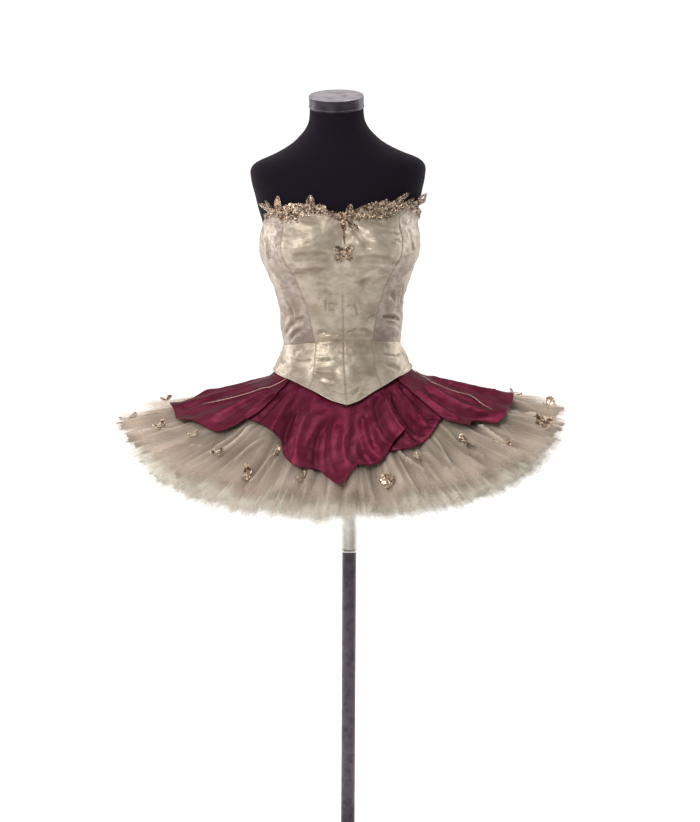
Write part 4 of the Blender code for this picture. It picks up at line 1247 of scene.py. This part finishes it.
def make_petals(colours):
    """Eight overlapping satin petals with narrow rolled hems, painted shade in their folds, and the pale
    turned edges at the two sides, whose paleness is a painted highlight.
    """
    dyes = colours.burgundy[:], colours.burgundy_shadow[:], colours.burgundy_highlight[:]
    satin = satin_finish("burgundy_satin", *dyes, 0.34, silk=0.55, crush=0.10, shine=0.15, patchy=0.35)
    for name, from_angle, to_angle, ply in PETALS:
        angle = np.linspace(from_angle, to_angle, PETAL_COLUMNS + 1)[None, :]
        share = np.linspace(0, 1, PETAL_ROWS + 1)[:, None]
        hem = read(HEMS[name], angle)[0]
        along = SKIRT_START + (hem - SKIRT_START) * share
        angle = np.broadcast_to(angle, along.shape)
        grid = petal_points(name, ply, angle, along)
        folded = strokes(FOLDS, angle, along, FOLD_DEGREE)
        # Painted shade: the satin is darkened in the folds' troughs.
        marks = {"hollow": np.clip(-folded / 0.006, 0.0, 1.0)}
        petal = cloth(f"{name}_cloth", grid, *measures(grid), marks=marks)
        declare_sheet(grid)
        finish_piece(petal, "burgundy_satin", [name], satin)
        down, back = grid[::2, 0], grid[::2, -1][::-1]
        path = np.concatenate([down, grid[-1, 1:-1], back])
        roll = tube(f"{name}_hem", path, 0.0009, sides=6)
        finish_piece(roll, "burgundy_satin", [], satin)
    # The turned edges are painted pale as a highlight where they catch the light.
    pale = champagne(colours, "rolled_edge_satin", colours.rolled_edge_highlight[:])
    for side, stops in ROLLED_EDGES:
        spots = np.linspace(0, len(stops) - 1, 60)
        angle, along = read([(number, *stop) for number, stop in enumerate(stops)], spots)
        path = guide(angle, along, petal_lift(2, along) + 0.0030)
        edge = tube(f"petal_edge_{side}", path, 0.0010, sides=8, taper=True)
        finish_piece(edge, "champagne_satin", [], pale)


NET_COLUMNS = 600
NET_ROWS = 26
NET_UV_RADIUS = 0.35
NET_START = 0.115
UNDER = {row[0]: row[1:] for row in UNDER_SKIRTS}


def net_points(ply, angle, share):
    """Points of one ply of net, and how far each stands on a crest, painted pale as a highlight, and in a
    trough, painted dark as shade.
    """
    name, node, lift, against, ruffles, depth, _, _, seed = ply
    turning = np.radians(angle)
    ragged = 0.0022 * waver(angle, seed, 40, 120) + 0.0060 * waver(angle, seed + 50, 8, 34)
    sway = 1.1 * waver(angle, seed + 20, 14, 60) * smooth((share - 0.45) / 0.55)
    spot = angle + sway
    ruffle = np.cos(ruffles * turning + 2.5 * waver(angle, seed + 30, 3, 12))
    ruffle = ruffle + 0.45 * np.cos(2.3 * ruffles * turning + 3.0 * waver(angle, seed + 35, 4, 14))
    raised = lift * share**1.5 + depth * ruffle * smooth((share - 0.40) / 0.62) ** 1.6
    raised = raised + 0.0011 * waver(angle, seed + 40, 60, 140) * smooth((share - 0.5) / 0.5)
    crest = smooth((ruffle - 0.7) / 0.6) * smooth((share - 0.5) / 0.3)
    trough = smooth((-ruffle - 0.1) / 0.9) * smooth((share - 0.30) / 0.3)
    trough = trough * (1 - 0.5 * smooth((share - 0.85) / 0.15))
    if node == "tulle_1":
        length = SKIRT_LENGTH + 0.005 * np.sin(7 * turning + 1.0) + 0.004 * np.sin(11 * turning)
        along = np.maximum(share * (length * against + ragged), 0.0)
        ridge = strokes(NET_RIDGES, angle, along, FOLD_DEGREE) if name == "net_top" else 0.0 * along
        crest = np.clip(ridge / 0.006, 0.0, 1.0) + 0.45 * crest
        return guide(spot, along, raised + ridge), np.clip(crest, 0.0, 1.0), trough
    sewn_at, length, flutes, flute_depth, turn = UNDER[node]
    start = body(spot, sewn_at, SEAM - FORM_SLACK + YOKE_CLOTH + SEAM + 0.0006)
    waves = flute_depth * share**1.2 * flute(spot, flutes, turn)
    along = np.maximum(share * (length * against + ragged), 0.0)
    return skirt(node, spot, along, start, raised + waves), 0.40 * crest, trough


def net_colours(node, colours):
    light = colours.net if node == "tulle_1" else colours.pale_net
    dark = colours.net_shadow if node == "tulle_1" else colours.net
    return light[:], dark[:]


def make_net(colours, sizes):
    """Eleven plies of net, each gathered at the hips, and the threads that fray from every hem."""
    threads = thread_tree()
    fray = Finish("frayed_thread", roughness=0.85, specular_ior_level=0.2, sheen_weight=0.3)
    tone = fray.noise(fray.place(), 60.0, 2.0).clear(0.35, 0.65)
    fray.set_all(base_color=fray.blend(tone, colours.pale_net[:], colours.hem[:]))
    taken = set()
    for ply in PLIES:
        name, node, *_, cover, hem_cover, seed = ply
        angle = (np.arange(NET_COLUMNS) * 360.0 / NET_COLUMNS - 180.0)[None, :]
        first = NET_START if node == "tulle_1" else 0.006
        share = first + (1 - first) * (np.linspace(0, 1, NET_ROWS + 1)[:, None]) ** 0.85
        angle, share = np.broadcast_arrays(angle, share)
        grid, ridge, trough = net_points(ply, angle, share)
        across = np.linspace(-180, 180, NET_COLUMNS + 1)[None, :] * math.radians(NET_UV_RADIUS)
        along = measures(grid, closed=True)[1].mean(axis=1, keepdims=True)
        marks = {"hem": share, "ridge": ridge, "trough": trough}
        net = cloth(name, grid, across, along, closed=True, marks=marks)
        declare_sheet(grid, closed=True)
        light, dark = net_colours(node, colours)
        slot = "taupe_tulle" if node == "tulle_1" else "pale_tulle"
        meshed = net_finish(name, light, dark, cover, hem_cover)
        finish_piece(net, slot, [] if node in taken else [node], meshed)
        taken.add(node)
        count = sizes.threads if name == "net_top" else sizes.threads // 3
        draws = np.random.default_rng(seed)
        spots = draws.uniform(-180, 180, count)
        ends = draws.uniform(0.93, 1.0, count)
        foot, before = (placed(net_points(ply, spots, ends - back)[0]) for back in (0.0, 0.04))
        away = foot - before
        away = away / np.linalg.norm(away, axis=1, keepdims=True)
        values = {"Length": sizes.thread_length, "Thickness": 0.012, "Splay": 0.38, "Seed": seed}
        frayed = threads.run(f"{name}_threads", carrier(foot, away=away), values, fray.material)
        finish_piece(frayed, slot, [])


# Bead work

TRIM_OUT = CLOTH_OUT + 0.0016


def on_body(angle, height, out):
    return body(np.asarray(angle, dtype=float), np.asarray(height, dtype=float), TRIM_OUT + out)


def hung(angle):
    """The band and the bow hang a little to the wearer's left of the centre, where a degree is wider."""
    return (np.asarray(angle) * DEGREE + BAND_SHIFT) / FRONT_DEGREE


def leaf(motif, draws):
    """A pointed leaf: beads along both edges and its rib, with finer ones between."""
    _, angle, height, to_angle, to_height, width = motif
    beads = []
    length = math.hypot((to_angle - angle) * DEGREE, to_height - height)
    steps = max(int(length / 0.0021), 5)
    across = np.array([-(to_height - height) / DEGREE, (to_angle - angle) * DEGREE]) / length
    for step in range(steps + 1):
        share = step / steps
        half = width / 2 * math.sin(math.pi * min(share * 0.86 + 0.10, 1.0)) ** 0.8
        middle = np.array([angle + (to_angle - angle) * share, height + (to_height - height) * share])
        rows = max(int(half / 0.0014), 1)
        for spot in range(-rows, rows + 1):
            aside = half * spot / rows
            radius = 0.0014 if abs(spot) == rows else (0.0017 if spot == 0 else 0.0012)
            point = middle + across * aside
            rise = 0.0006 + 0.0022 * (1 - abs(spot) / (rows + 0.5))
            beads.append((point[0], point[1], rise, radius * draws.uniform(0.85, 1.12)))
    return beads


def cluster(motif, draws):
    """Beads of mixed sizes heaped along a stretch."""
    _, angle, height, to_angle, to_height, width = motif
    length = math.hypot((to_angle - angle) * DEGREE, to_height - height)
    beads = []
    for _ in range(int(length * width / 3.4e-6)):
        share, aside = draws.uniform(-0.04, 1.04), draws.normal(0, 0.30)
        big = draws.uniform() < 0.16
        radius = draws.uniform(0.0022, 0.0032) if big else draws.uniform(0.0011, 0.0019)
        spot = angle + (to_angle - angle) * share
        level = height + (to_height - height) * share + aside * width
        beads.append((spot, level, 0.0006 + draws.uniform(0, 0.0040) * math.exp(-aside * aside * 6), radius))
    return beads


def shell(motif, draws):
    """A fan of bead rows that open out from its foot."""
    _, angle, height, to_angle, to_height, width = motif
    length = math.hypot((to_angle - angle) * DEGREE, to_height - height)
    beads = []
    for ray in range(-3, 4):
        turn = ray * 0.30
        for step in range(1, 7):
            out = length * step / 6 * (1 - 0.06 * abs(ray))
            radius = 0.0012 + 0.0010 * step / 6
            spot = angle + out * math.sin(turn) * width / length / DEGREE
            rise = 0.0008 + 0.0004 * (ray % 2)
            beads.append((spot, height + out * math.cos(turn), rise, radius * draws.uniform(0.9, 1.1)))
    return beads


def rope(motif, draws):
    """Two strands of beads twisted about each other."""
    _, angle, height, to_angle, to_height, width = motif
    length = math.hypot((to_angle - angle) * DEGREE, to_height - height)
    run = np.array([(to_angle - angle) * DEGREE, to_height - height]) / length
    beads = []
    count = int(length / 0.0017)
    for strand in (0.0, math.pi / 2, math.pi, 1.5 * math.pi):
        for step in range(count + 1):
            share = step / count
            phase = share * length / 0.017 * 2 * math.pi + strand
            aside = math.sin(phase) * width * 0.36
            spot = angle + (to_angle - angle) * share - run[1] * aside / DEGREE
            level = height + (to_height - height) * share + run[0] * aside
            beads.append((spot, level, 0.0022 + 0.0018 * math.cos(phase), 0.0016 * draws.uniform(0.85, 1.15)))
    return beads


SHAPES = {"leaf": leaf, "cluster": cluster, "shell": shell, "rope": rope}


def stiff_plate(grid, thickness, finish):
    """A thin plate of bullion cloth under the bead work, from a grid of points."""
    plate = cloth("plate", grid, *measures(grid))
    thicken(plate, thickness)
    plate.data.materials.append(finish)
    return plate


def backing(angle, height, out, finish):
    return stiff_plate(on_body(angle, height, out), 0.0008, finish)


def bead_piece(beads, finish, roundness, seed):
    angle, height, rise, radius = np.array(beads).T
    return sewn(on_body(angle, height, rise), radius, finish, seed, roundness)


def mixed_beads(beads, dark_finish, pale_finish, seed):
    """Every third bead pale, the others dark."""
    dark = [bead for number, bead in enumerate(beads) if number % 3]
    return bead_piece(dark, dark_finish, 1, seed), bead_piece(beads[::3], pale_finish, 1, seed + 1)


def gold(colours):
    found = bpy.data.materials.get("beaded_gold")
    return found or bead_finish("beaded_gold", colours.gold_shadow[:], colours.gold[:], 0.12, 0.60)


def make_trim(colours):
    """Bead trim along the neckline, from leaves, clusters, shells and ropes on a narrow backing."""
    beaded = gold(colours)
    crystal = bead_finish("pale_beads", linear((150, 132, 116)), linear((236, 222, 204)), 0.10, 0.25)
    for (side, side_name), ends in zip(SIDES, ((3.0, 83.0), (2.0, 64.0))):
        draws = np.random.default_rng(71 + side)
        motifs = [motif for motif in MOTIFS if (motif[1] >= 0) == (side > 0)]
        beads = [bead for motif in motifs for bead in SHAPES[motif[0]](motif, draws)]
        scattered = np.linspace(*ends, 150)
        for spot in scattered:
            for _ in range(2):
                level = float(neckline(side * spot)) + draws.normal(-0.0035, 0.0034)
                rise = draws.uniform(0.0004, 0.0016)
                beads.append((side * spot, level, rise, draws.uniform(0.0009, 0.0015)))
        angle = side * np.linspace(*ends, 90)[None, :]
        level = np.linspace(-1, 1, 9)[:, None]
        wide = 0.0046 + 0.0016 * np.sin(angle * 0.55) + 0.0010 * np.sin(angle * 1.31)
        plate = backing(angle, neckline(angle) - 0.0030 + level * wide, 0.0004 + 0 * level, beaded)
        parts = [plate, *mixed_beads(beads, beaded, crystal, 3)]
        finish_piece(joined(f"neck_trim_{side_name}", parts), "gold_bullion", [f"neck_trim_{side_name}"])

    draws = np.random.default_rng(77)
    beads = []
    for step in range(20):
        share = step / 19
        level = BAND_TOP - (BAND_TOP - BAND_POINT) * share
        half = 0.0050 * (1 - share) ** 0.7 + 0.0012
        rows = max(int(half / 0.0017), 1)
        for spot in range(-rows, rows + 1):
            radius = 0.0017 if spot == 0 else 0.0013
            rise = 0.0008 + 0.0022 * (1 - abs(spot) / (rows + 1))
            across = hung((half * spot / rows + 0.0009 * math.sin(level / 0.006)) / DEGREE)
            beads.append((across, level + draws.normal(0, 0.0003), rise, radius * draws.uniform(0.85, 1.15)))
    for strand in (0.0, math.pi):
        for step in range(24):
            level = BAND_POINT - (BAND_POINT - BAND_FOOT) * step / 23
            phase = level / 0.0075 * 2 * math.pi + strand
            across = hung(0.0009 * math.sin(phase) / DEGREE)
            beads.append((across, level, 0.0012 + 0.0008 * math.cos(phase), 0.00105))
    level = np.linspace(BAND_POINT - 0.004, BAND_TOP, 24)[:, None]
    half = 0.0040 * np.clip((level - BAND_POINT) / (BAND_TOP - BAND_POINT), 0, 1) ** 0.7 + 0.0010
    angle = np.linspace(-1, 1, 7)[None, :] * half / DEGREE
    plate = backing(hung(angle), level, 0.0004 + 0 * angle, beaded)
    band = joined("centre_band", [plate, bead_piece(beads, beaded, 2, 6)])
    finish_piece(band, "gold_bullion", ["centre_band"])


def make_bow(colours):
    """A little beaded bow: two upper and two lower loops round a knot."""
    beaded = gold(colours)
    pale = bead_finish("bow_pale_beads", linear((150, 132, 116)), linear((240, 228, 208)), 0.10, 0.3)
    beads, plates = [], []
    draws = np.random.default_rng(78)
    for side, slope, reach, half in BOW_LOOPS:
        aim = np.array([side * math.cos(slope), math.sin(slope)])
        aside = np.array([-aim[1], aim[0]])
        share = np.linspace(0.04, 1, 16)[None, :]
        level = np.linspace(-1, 1, 9)[:, None]
        wide = half * np.sin(np.pi * np.clip(share * 0.80 + 0.06, 0, 1)) ** 0.8
        out = aim[:, None, None] * share * reach + aside[:, None, None] * level * wide
        puff = 0.0010 + 0.0030 * np.sin(np.pi * share) * (1 - level**2) + 0 * level
        plates.append(backing(hung(out[0] / DEGREE), BOW_HEIGHT + out[1], puff, beaded))
        for step in range(2, 15):
            for row in (-1.0, -0.5, 0.0, 0.5, 1.0):
                part = step / 14
                spread = half * math.sin(math.pi * min(part * 0.80 + 0.06, 1)) ** 0.8
                spot = aim * part * reach + aside * row * spread
                rise = 0.0016 + 0.0030 * math.sin(math.pi * part) * (1 - row * row)
                radius = (0.0013 if abs(row) == 1 else 0.0010) * draws.uniform(0.85, 1.15)
                beads.append((hung(spot[0] / DEGREE), BOW_HEIGHT + spot[1], rise, radius))
    for _ in range(30):
        turn, out = draws.uniform(0, 2 * math.pi), draws.uniform(0, 0.0040)
        spot = hung(out * math.cos(turn) / DEGREE)
        level = BOW_HEIGHT + out * math.sin(turn) * 1.2
        beads.append((spot, level, 0.0058 - out * 0.6, draws.uniform(0.0013, 0.0021)))
    finish_piece(joined("bow", [*plates, *mixed_beads(beads, beaded, pale, 9)]), "gold_bullion", ["bow"])


def ornament_spots(ornament, length, across, rise):
    """Points of an ornament from its own length and breadth (-1 to 1) and height over the net."""
    angle, along, size, turn = ornament
    top = PLIES[0]
    cosine, sine = math.cos(math.radians(turn)), math.sin(math.radians(turn))
    radius = 0.12 + along * 0.85
    u, v = across * size / 2 * 0.9, length * size / 2
    spot_angle = angle + np.degrees((u * cosine - v * sine) / radius)
    spot_along = along + u * sine + v * cosine
    points = net_points(top, spot_angle, spot_along / (SKIRT_LENGTH * top[3]))[0]
    up = np.array([0.30 * math.sin(math.radians(angle)), -0.30 * math.cos(math.radians(angle)), 0.95])
    return points + rise[..., None] * up


def make_ornaments(colours, sizes):
    """Small winged bead bows that are sewn here and there on the top net, their wings lifted."""
    beaded = gold(colours)
    pale = bead_finish("ornament_pale_beads", linear((170, 150, 126)), linear((244, 232, 212)), 0.10, 0.35)
    for number, ornament in enumerate(ORNAMENTS, 1):
        draws = np.random.default_rng(200 + number)
        parts, beads = [], []
        for side in (-1, 1):
            share = np.linspace(0.0, 1.0, 12)[None, :]
            level = np.linspace(-1, 1, 9)[:, None]
            half = 0.62 * np.sin(np.pi * np.clip(share * 0.78 + 0.05, 0, 1)) ** 0.9
            lifted = 0.0012 + 0.0085 * share * draws.uniform(0.6, 1.1) + 0.0016 * (1 - level**2)
            grid = ornament_spots(ornament, side * share + 0 * level, level * half, lifted)
            parts.append(stiff_plate(grid, 0.0006, beaded))
            edge = grid[:, 1:]
            rows = np.concatenate([edge[0], edge[-1], edge[:, -1], edge[4]])
            beads += [(point, draws.uniform(0.0012, 0.0019)) for point in rows + (0.0, 0.0, 0.0008)]
        for _ in range(16):
            spot = draws.normal(0, 0.13, 2)
            point = ornament_spots(ornament, spot[:1], spot[1:], np.array([0.0030]))[0]
            beads.append((point, draws.uniform(0.0015, 0.0026)))
        points = np.array([point for point, _ in beads])
        radii = np.array([radius for _, radius in beads]) * sizes.bead
        parts.append(sewn(points[::2], radii[::2], beaded, number))
        parts.append(sewn(points[1::2], radii[1::2], pale, number + 40))
        name = f"ornament_{number:02d}"
        finish_piece(joined(name, parts), "gilt_beads", [name])


# Stage

def area_light(name, place, target, size, power, colour=(1.0, 1.0, 1.0)):
    data = bpy.data.lights.new(name, "AREA")
    data.shape = "RECTANGLE"
    data.size, data.size_y = size
    data.energy = power
    data.color = colour
    made = linked(name, data)
    made.location = place
    made.rotation_euler = (Vector(target) - Vector(place)).to_track_quat("-Z", "Y").to_euler()


def make_stage(stage):
    """A plain pale floor, soft light and a camera at the photograph's angle."""
    mesh = bpy.data.meshes.new("floor")
    far = 400.0
    mesh.from_pydata([(-far, -far, 0), (far, -far, 0), (far, far, 0), (-far, far, 0)], [], [(0, 1, 2, 3)])
    floor = linked("floor", mesh)
    pale = Finish("floor_paper", roughness=0.95, specular_ior_level=0.0, emission_strength=stage.floor_glow)
    grain = pale.noise(pale.place(), 3.0, 2.0)
    pale.set_all(base_color=pale.blend(grain, (0.90, 0.90, 0.90), (0.88, 0.88, 0.88)))
    # The floor's own glow: dim near the stand, full further behind it.
    behind = pale.add("ShaderNodeSeparateXYZ", {0: pale.place()}, output="Y").clear(-1.2, 1.0)
    pale.set_all(emission_color=pale.blend(behind, (0.12, 0.12, 0.12), (1.0, 1.0, 1.0)))
    mesh.materials.append(pale.material)

    world = bpy.data.worlds.new("soft_room")
    world.use_nodes = True
    room = Graph(world.node_tree)
    towards = room.add("ShaderNodeSeparateXYZ", {0: room.add("ShaderNodeTexCoord")}, output="Y")
    behind = towards.clear(-0.75, 0.55)
    sky = world.node_tree.nodes["Background"]
    sky.inputs["Color"].default_value = (1.0, 0.985, 0.97, 1.0)
    room.set(sky.inputs["Strength"], behind * (stage.room_light - stage.near_light) + stage.near_light)
    bpy.context.scene.world = world

    middle = (0.0, 0.0, WAIST_HEIGHT)
    area_light("key", (-1.9, -2.6, 2.9), middle, (1.6, 1.6), stage.key_light, (1.0, 0.97, 0.94))
    area_light("left_rim", (-2.3, 1.3, 1.7), middle, (0.8, 2.0), stage.rim_light)
    area_light("right_rim", (2.3, 1.3, 1.7), middle, (0.8, 2.0), stage.rim_light)
    area_light("over", (0.0, 0.3, 3.6), middle, (1.6, 1.2), stage.over_light)

    level = math.cos(VIEW_HEIGHT)
    away = Vector((-math.sin(VIEW_TURN) * level, -math.cos(VIEW_TURN) * level, math.sin(VIEW_HEIGHT)))
    target = Vector((0, 0, WAIST_HEIGHT - (MIDDLE_ROW - WAIST_ROW) * PIXEL / level))
    data = bpy.data.cameras.new("camera")
    data.sensor_fit = "HORIZONTAL"
    data.sensor_width = SENSOR
    data.lens = SENSOR * stage.distance / (PHOTO_WIDTH * PIXEL)
    data.clip_end = 1000.0
    camera = linked("camera", data)
    look = (-away).to_track_quat("-Z", "Y").to_matrix().to_4x4() @ Matrix.Rotation(VIEW_ROLL, 4, "Z")
    camera.matrix_world = Matrix.Translation(target + away * stage.distance) @ look
    bpy.context.scene.camera = camera
    bpy.context.scene.view_settings.view_transform = "Standard"


# Add-on

def colour_property(name, description, shown):
    return FloatVectorProperty(
        name=name, description=description, default=linear(shown), subtype="COLOR", size=3, min=0.0, max=1.0
    )


def power_property(name, description, usual):
    return FloatProperty(name=name, description=description, default=usual, unit="POWER")


def strength_property(name, description, usual):
    return FloatProperty(name=name, description=description, default=usual, min=0.0)


class CostumeColours(bpy.types.PropertyGroup):
    """Colours of the cloth, the metal and the form."""

    satin: colour_property("Satin", "Champagne satin at the front", (190, 177, 160))
    satin_side: colour_property("Side satin", "Champagne satin of the side and back panels", (160, 144, 139))
    # Painted highlight: the satin's sheen patches and crush crests, and the basque piping.
    satin_highlight: colour_property("Satin light", "Where the satin is brushed up", (212, 202, 186))
    satin_shadow: colour_property("Satin shadow", "In the satin's creases", (122, 106, 84))
    # Painted highlight of the petals' turned edges.
    rolled_edge_highlight: colour_property("Rolled edge", "Turned edges on the petals", (176, 128, 128))
    burgundy: colour_property("Burgundy", "Petals' satin", (97, 29, 51))
    # Painted highlight of the petals' satin: its sheen patches and crush crests.
    burgundy_highlight: colour_property("Burgundy light", "Where the petals' satin is brushed up", (136, 60, 84))
    burgundy_shadow: colour_property("Burgundy shadow", "In the petals' folds", (50, 6, 24))
    net: colour_property("Net", "Taupe net of the top skirt", (210, 192, 176))
    pale_net: colour_property("Pale net", "Cream net of the under skirts", (244, 228, 216))
    # Painted shade of the top net near the waist and in its troughs, and of the hip yoke's crush.
    net_shadow: colour_property("Net shadow", "Where plies of net lie together", (132, 120, 102))
    hem: colour_property("Hem", "Frayed threads at the hems", (240, 230, 222))
    gold: colour_property("Gold", "Gilt beads", (234, 206, 178))
    gold_shadow: colour_property("Gold shadow", "Tarnished gilt", (98, 72, 58))
    jersey: colour_property("Jersey", "The form's black jersey", (24, 18, 28))
    pewter: colour_property("Pewter", "The neck cap", (168, 160, 166))
    chrome: colour_property("Chrome", "The collar", (200, 196, 192))
    pole: colour_property("Pole", "Enamel of the pole and the base", (92, 82, 92))


class CostumeSizes(bpy.types.PropertyGroup):
    """Sizes of what is sewn on or frays."""

    threads: IntProperty(name="Threads", description="Frayed threads of the top hem", default=700, min=0)
    thread_length: FloatProperty(
        name="Thread length", description="Longest frayed thread", default=0.017, min=0.0, unit="LENGTH"
    )
    bead: FloatProperty(name="Bead size", description="Ornaments' beads against the usual size", default=1.0)


class CostumeStage(bpy.types.PropertyGroup):
    """Light and camera."""

    key_light: power_property("Key light", "Soft light from the upper left", 80.0)
    rim_light: power_property("Rim lights", "Lights behind each side", 26.0)
    over_light: power_property("Over light", "Light from above", 22.0)
    room_light: strength_property("Room light", "Even light from behind and the sides", 0.75)
    near_light: strength_property("Near light", "Even light from the camera's side", 0.16)
    floor_glow: strength_property("Floor glow", "The pale floor's own light", 0.70)
    distance: FloatProperty(name="Distance", description="From camera to costume", default=7.0, unit="LENGTH")


def settings():
    scene = bpy.context.scene
    return scene.costume_colours, scene.costume_sizes, scene.costume_stage


class MakeStage(bpy.types.Operator):
    """Make the floor, the lights and the camera"""

    bl_idname = "costume.stage"
    bl_label = "Stage"

    def execute(self, context):
        make_stage(settings()[2])
        return {"FINISHED"}


class MakeStand(bpy.types.Operator):
    """Make the base, the pole and the collar"""

    bl_idname = "costume.stand"
    bl_label = "Stand"

    def execute(self, context):
        make_stand(settings()[0])
        return {"FINISHED"}


class MakeForm(bpy.types.Operator):
    """Make the form's torso and neck cap"""

    bl_idname = "costume.form"
    bl_label = "Form"

    def execute(self, context):
        make_form(settings()[0])
        return {"FINISHED"}


class MakeYoke(bpy.types.Operator):
    """Make the hip yoke"""

    bl_idname = "costume.yoke"
    bl_label = "Hip yoke"

    def execute(self, context):
        make_yoke(settings()[0])
        return {"FINISHED"}


class MakeBodice(bpy.types.Operator):
    """Make the bodice panels"""

    bl_idname = "costume.bodice"
    bl_label = "Bodice"

    def execute(self, context):
        make_bodice(settings()[0])
        return {"FINISHED"}


class MakeBasque(bpy.types.Operator):
    """Make the basque panels and their piping"""

    bl_idname = "costume.basque"
    bl_label = "Basque"

    def execute(self, context):
        make_basque(settings()[0])
        return {"FINISHED"}


class MakePetals(bpy.types.Operator):
    """Make the burgundy petals"""

    bl_idname = "costume.petals"
    bl_label = "Petals"

    def execute(self, context):
        make_petals(settings()[0])
        return {"FINISHED"}


class MakeNet(bpy.types.Operator):
    """Make the plies of net and their frayed hems"""

    bl_idname = "costume.net"
    bl_label = "Net skirts"

    def execute(self, context):
        make_net(*settings()[:2])
        return {"FINISHED"}


class MakeTrim(bpy.types.Operator):
    """Make the neckline's bead trim, the centre band and the bow"""

    bl_idname = "costume.trim"
    bl_label = "Neckline trim"

    def execute(self, context):
        make_trim(settings()[0])
        make_bow(settings()[0])
        return {"FINISHED"}


class MakeOrnaments(bpy.types.Operator):
    """Make the bead ornaments on the net"""

    bl_idname = "costume.ornaments"
    bl_label = "Ornaments"

    def execute(self, context):
        make_ornaments(*settings()[:2])
        return {"FINISHED"}


MAKERS = (
    MakeStage, MakeStand, MakeForm, MakeYoke, MakeBodice, MakeBasque, MakePetals, MakeNet, MakeTrim,
    MakeOrnaments,
)


class CostumePanel(bpy.types.Panel):
    """Lists the steps and the settings of the costume"""

    bl_idname = "VIEW3D_PT_costume"
    bl_label = "Costume"
    bl_space_type = "VIEW_3D"
    bl_region_type = "UI"
    bl_category = "Costume"

    def draw(self, context):
        for maker in MAKERS:
            self.layout.operator(maker.bl_idname)
        for group in settings():
            box = self.layout.box()
            for name in group.__annotations__:
                box.prop(group, name)


GROUPS = {"costume_colours": CostumeColours, "costume_sizes": CostumeSizes, "costume_stage": CostumeStage}


def register():
    for kind in (*GROUPS.values(), *MAKERS, CostumePanel):
        bpy.utils.register_class(kind)
    for name, group in GROUPS.items():
        setattr(bpy.types.Scene, name, PointerProperty(type=group))


def unregister():
    for name in GROUPS:
        delattr(bpy.types.Scene, name)
    for kind in reversed((*GROUPS.values(), *MAKERS, CostumePanel)):
        bpy.utils.unregister_class(kind)


def main():
    register()
    for maker in MAKERS:
        group, name = maker.bl_idname.split(".")
        getattr(getattr(bpy.ops, group), name)()
    bpy.context.view_layer.update()


if __name__ == "__main__":
    main()
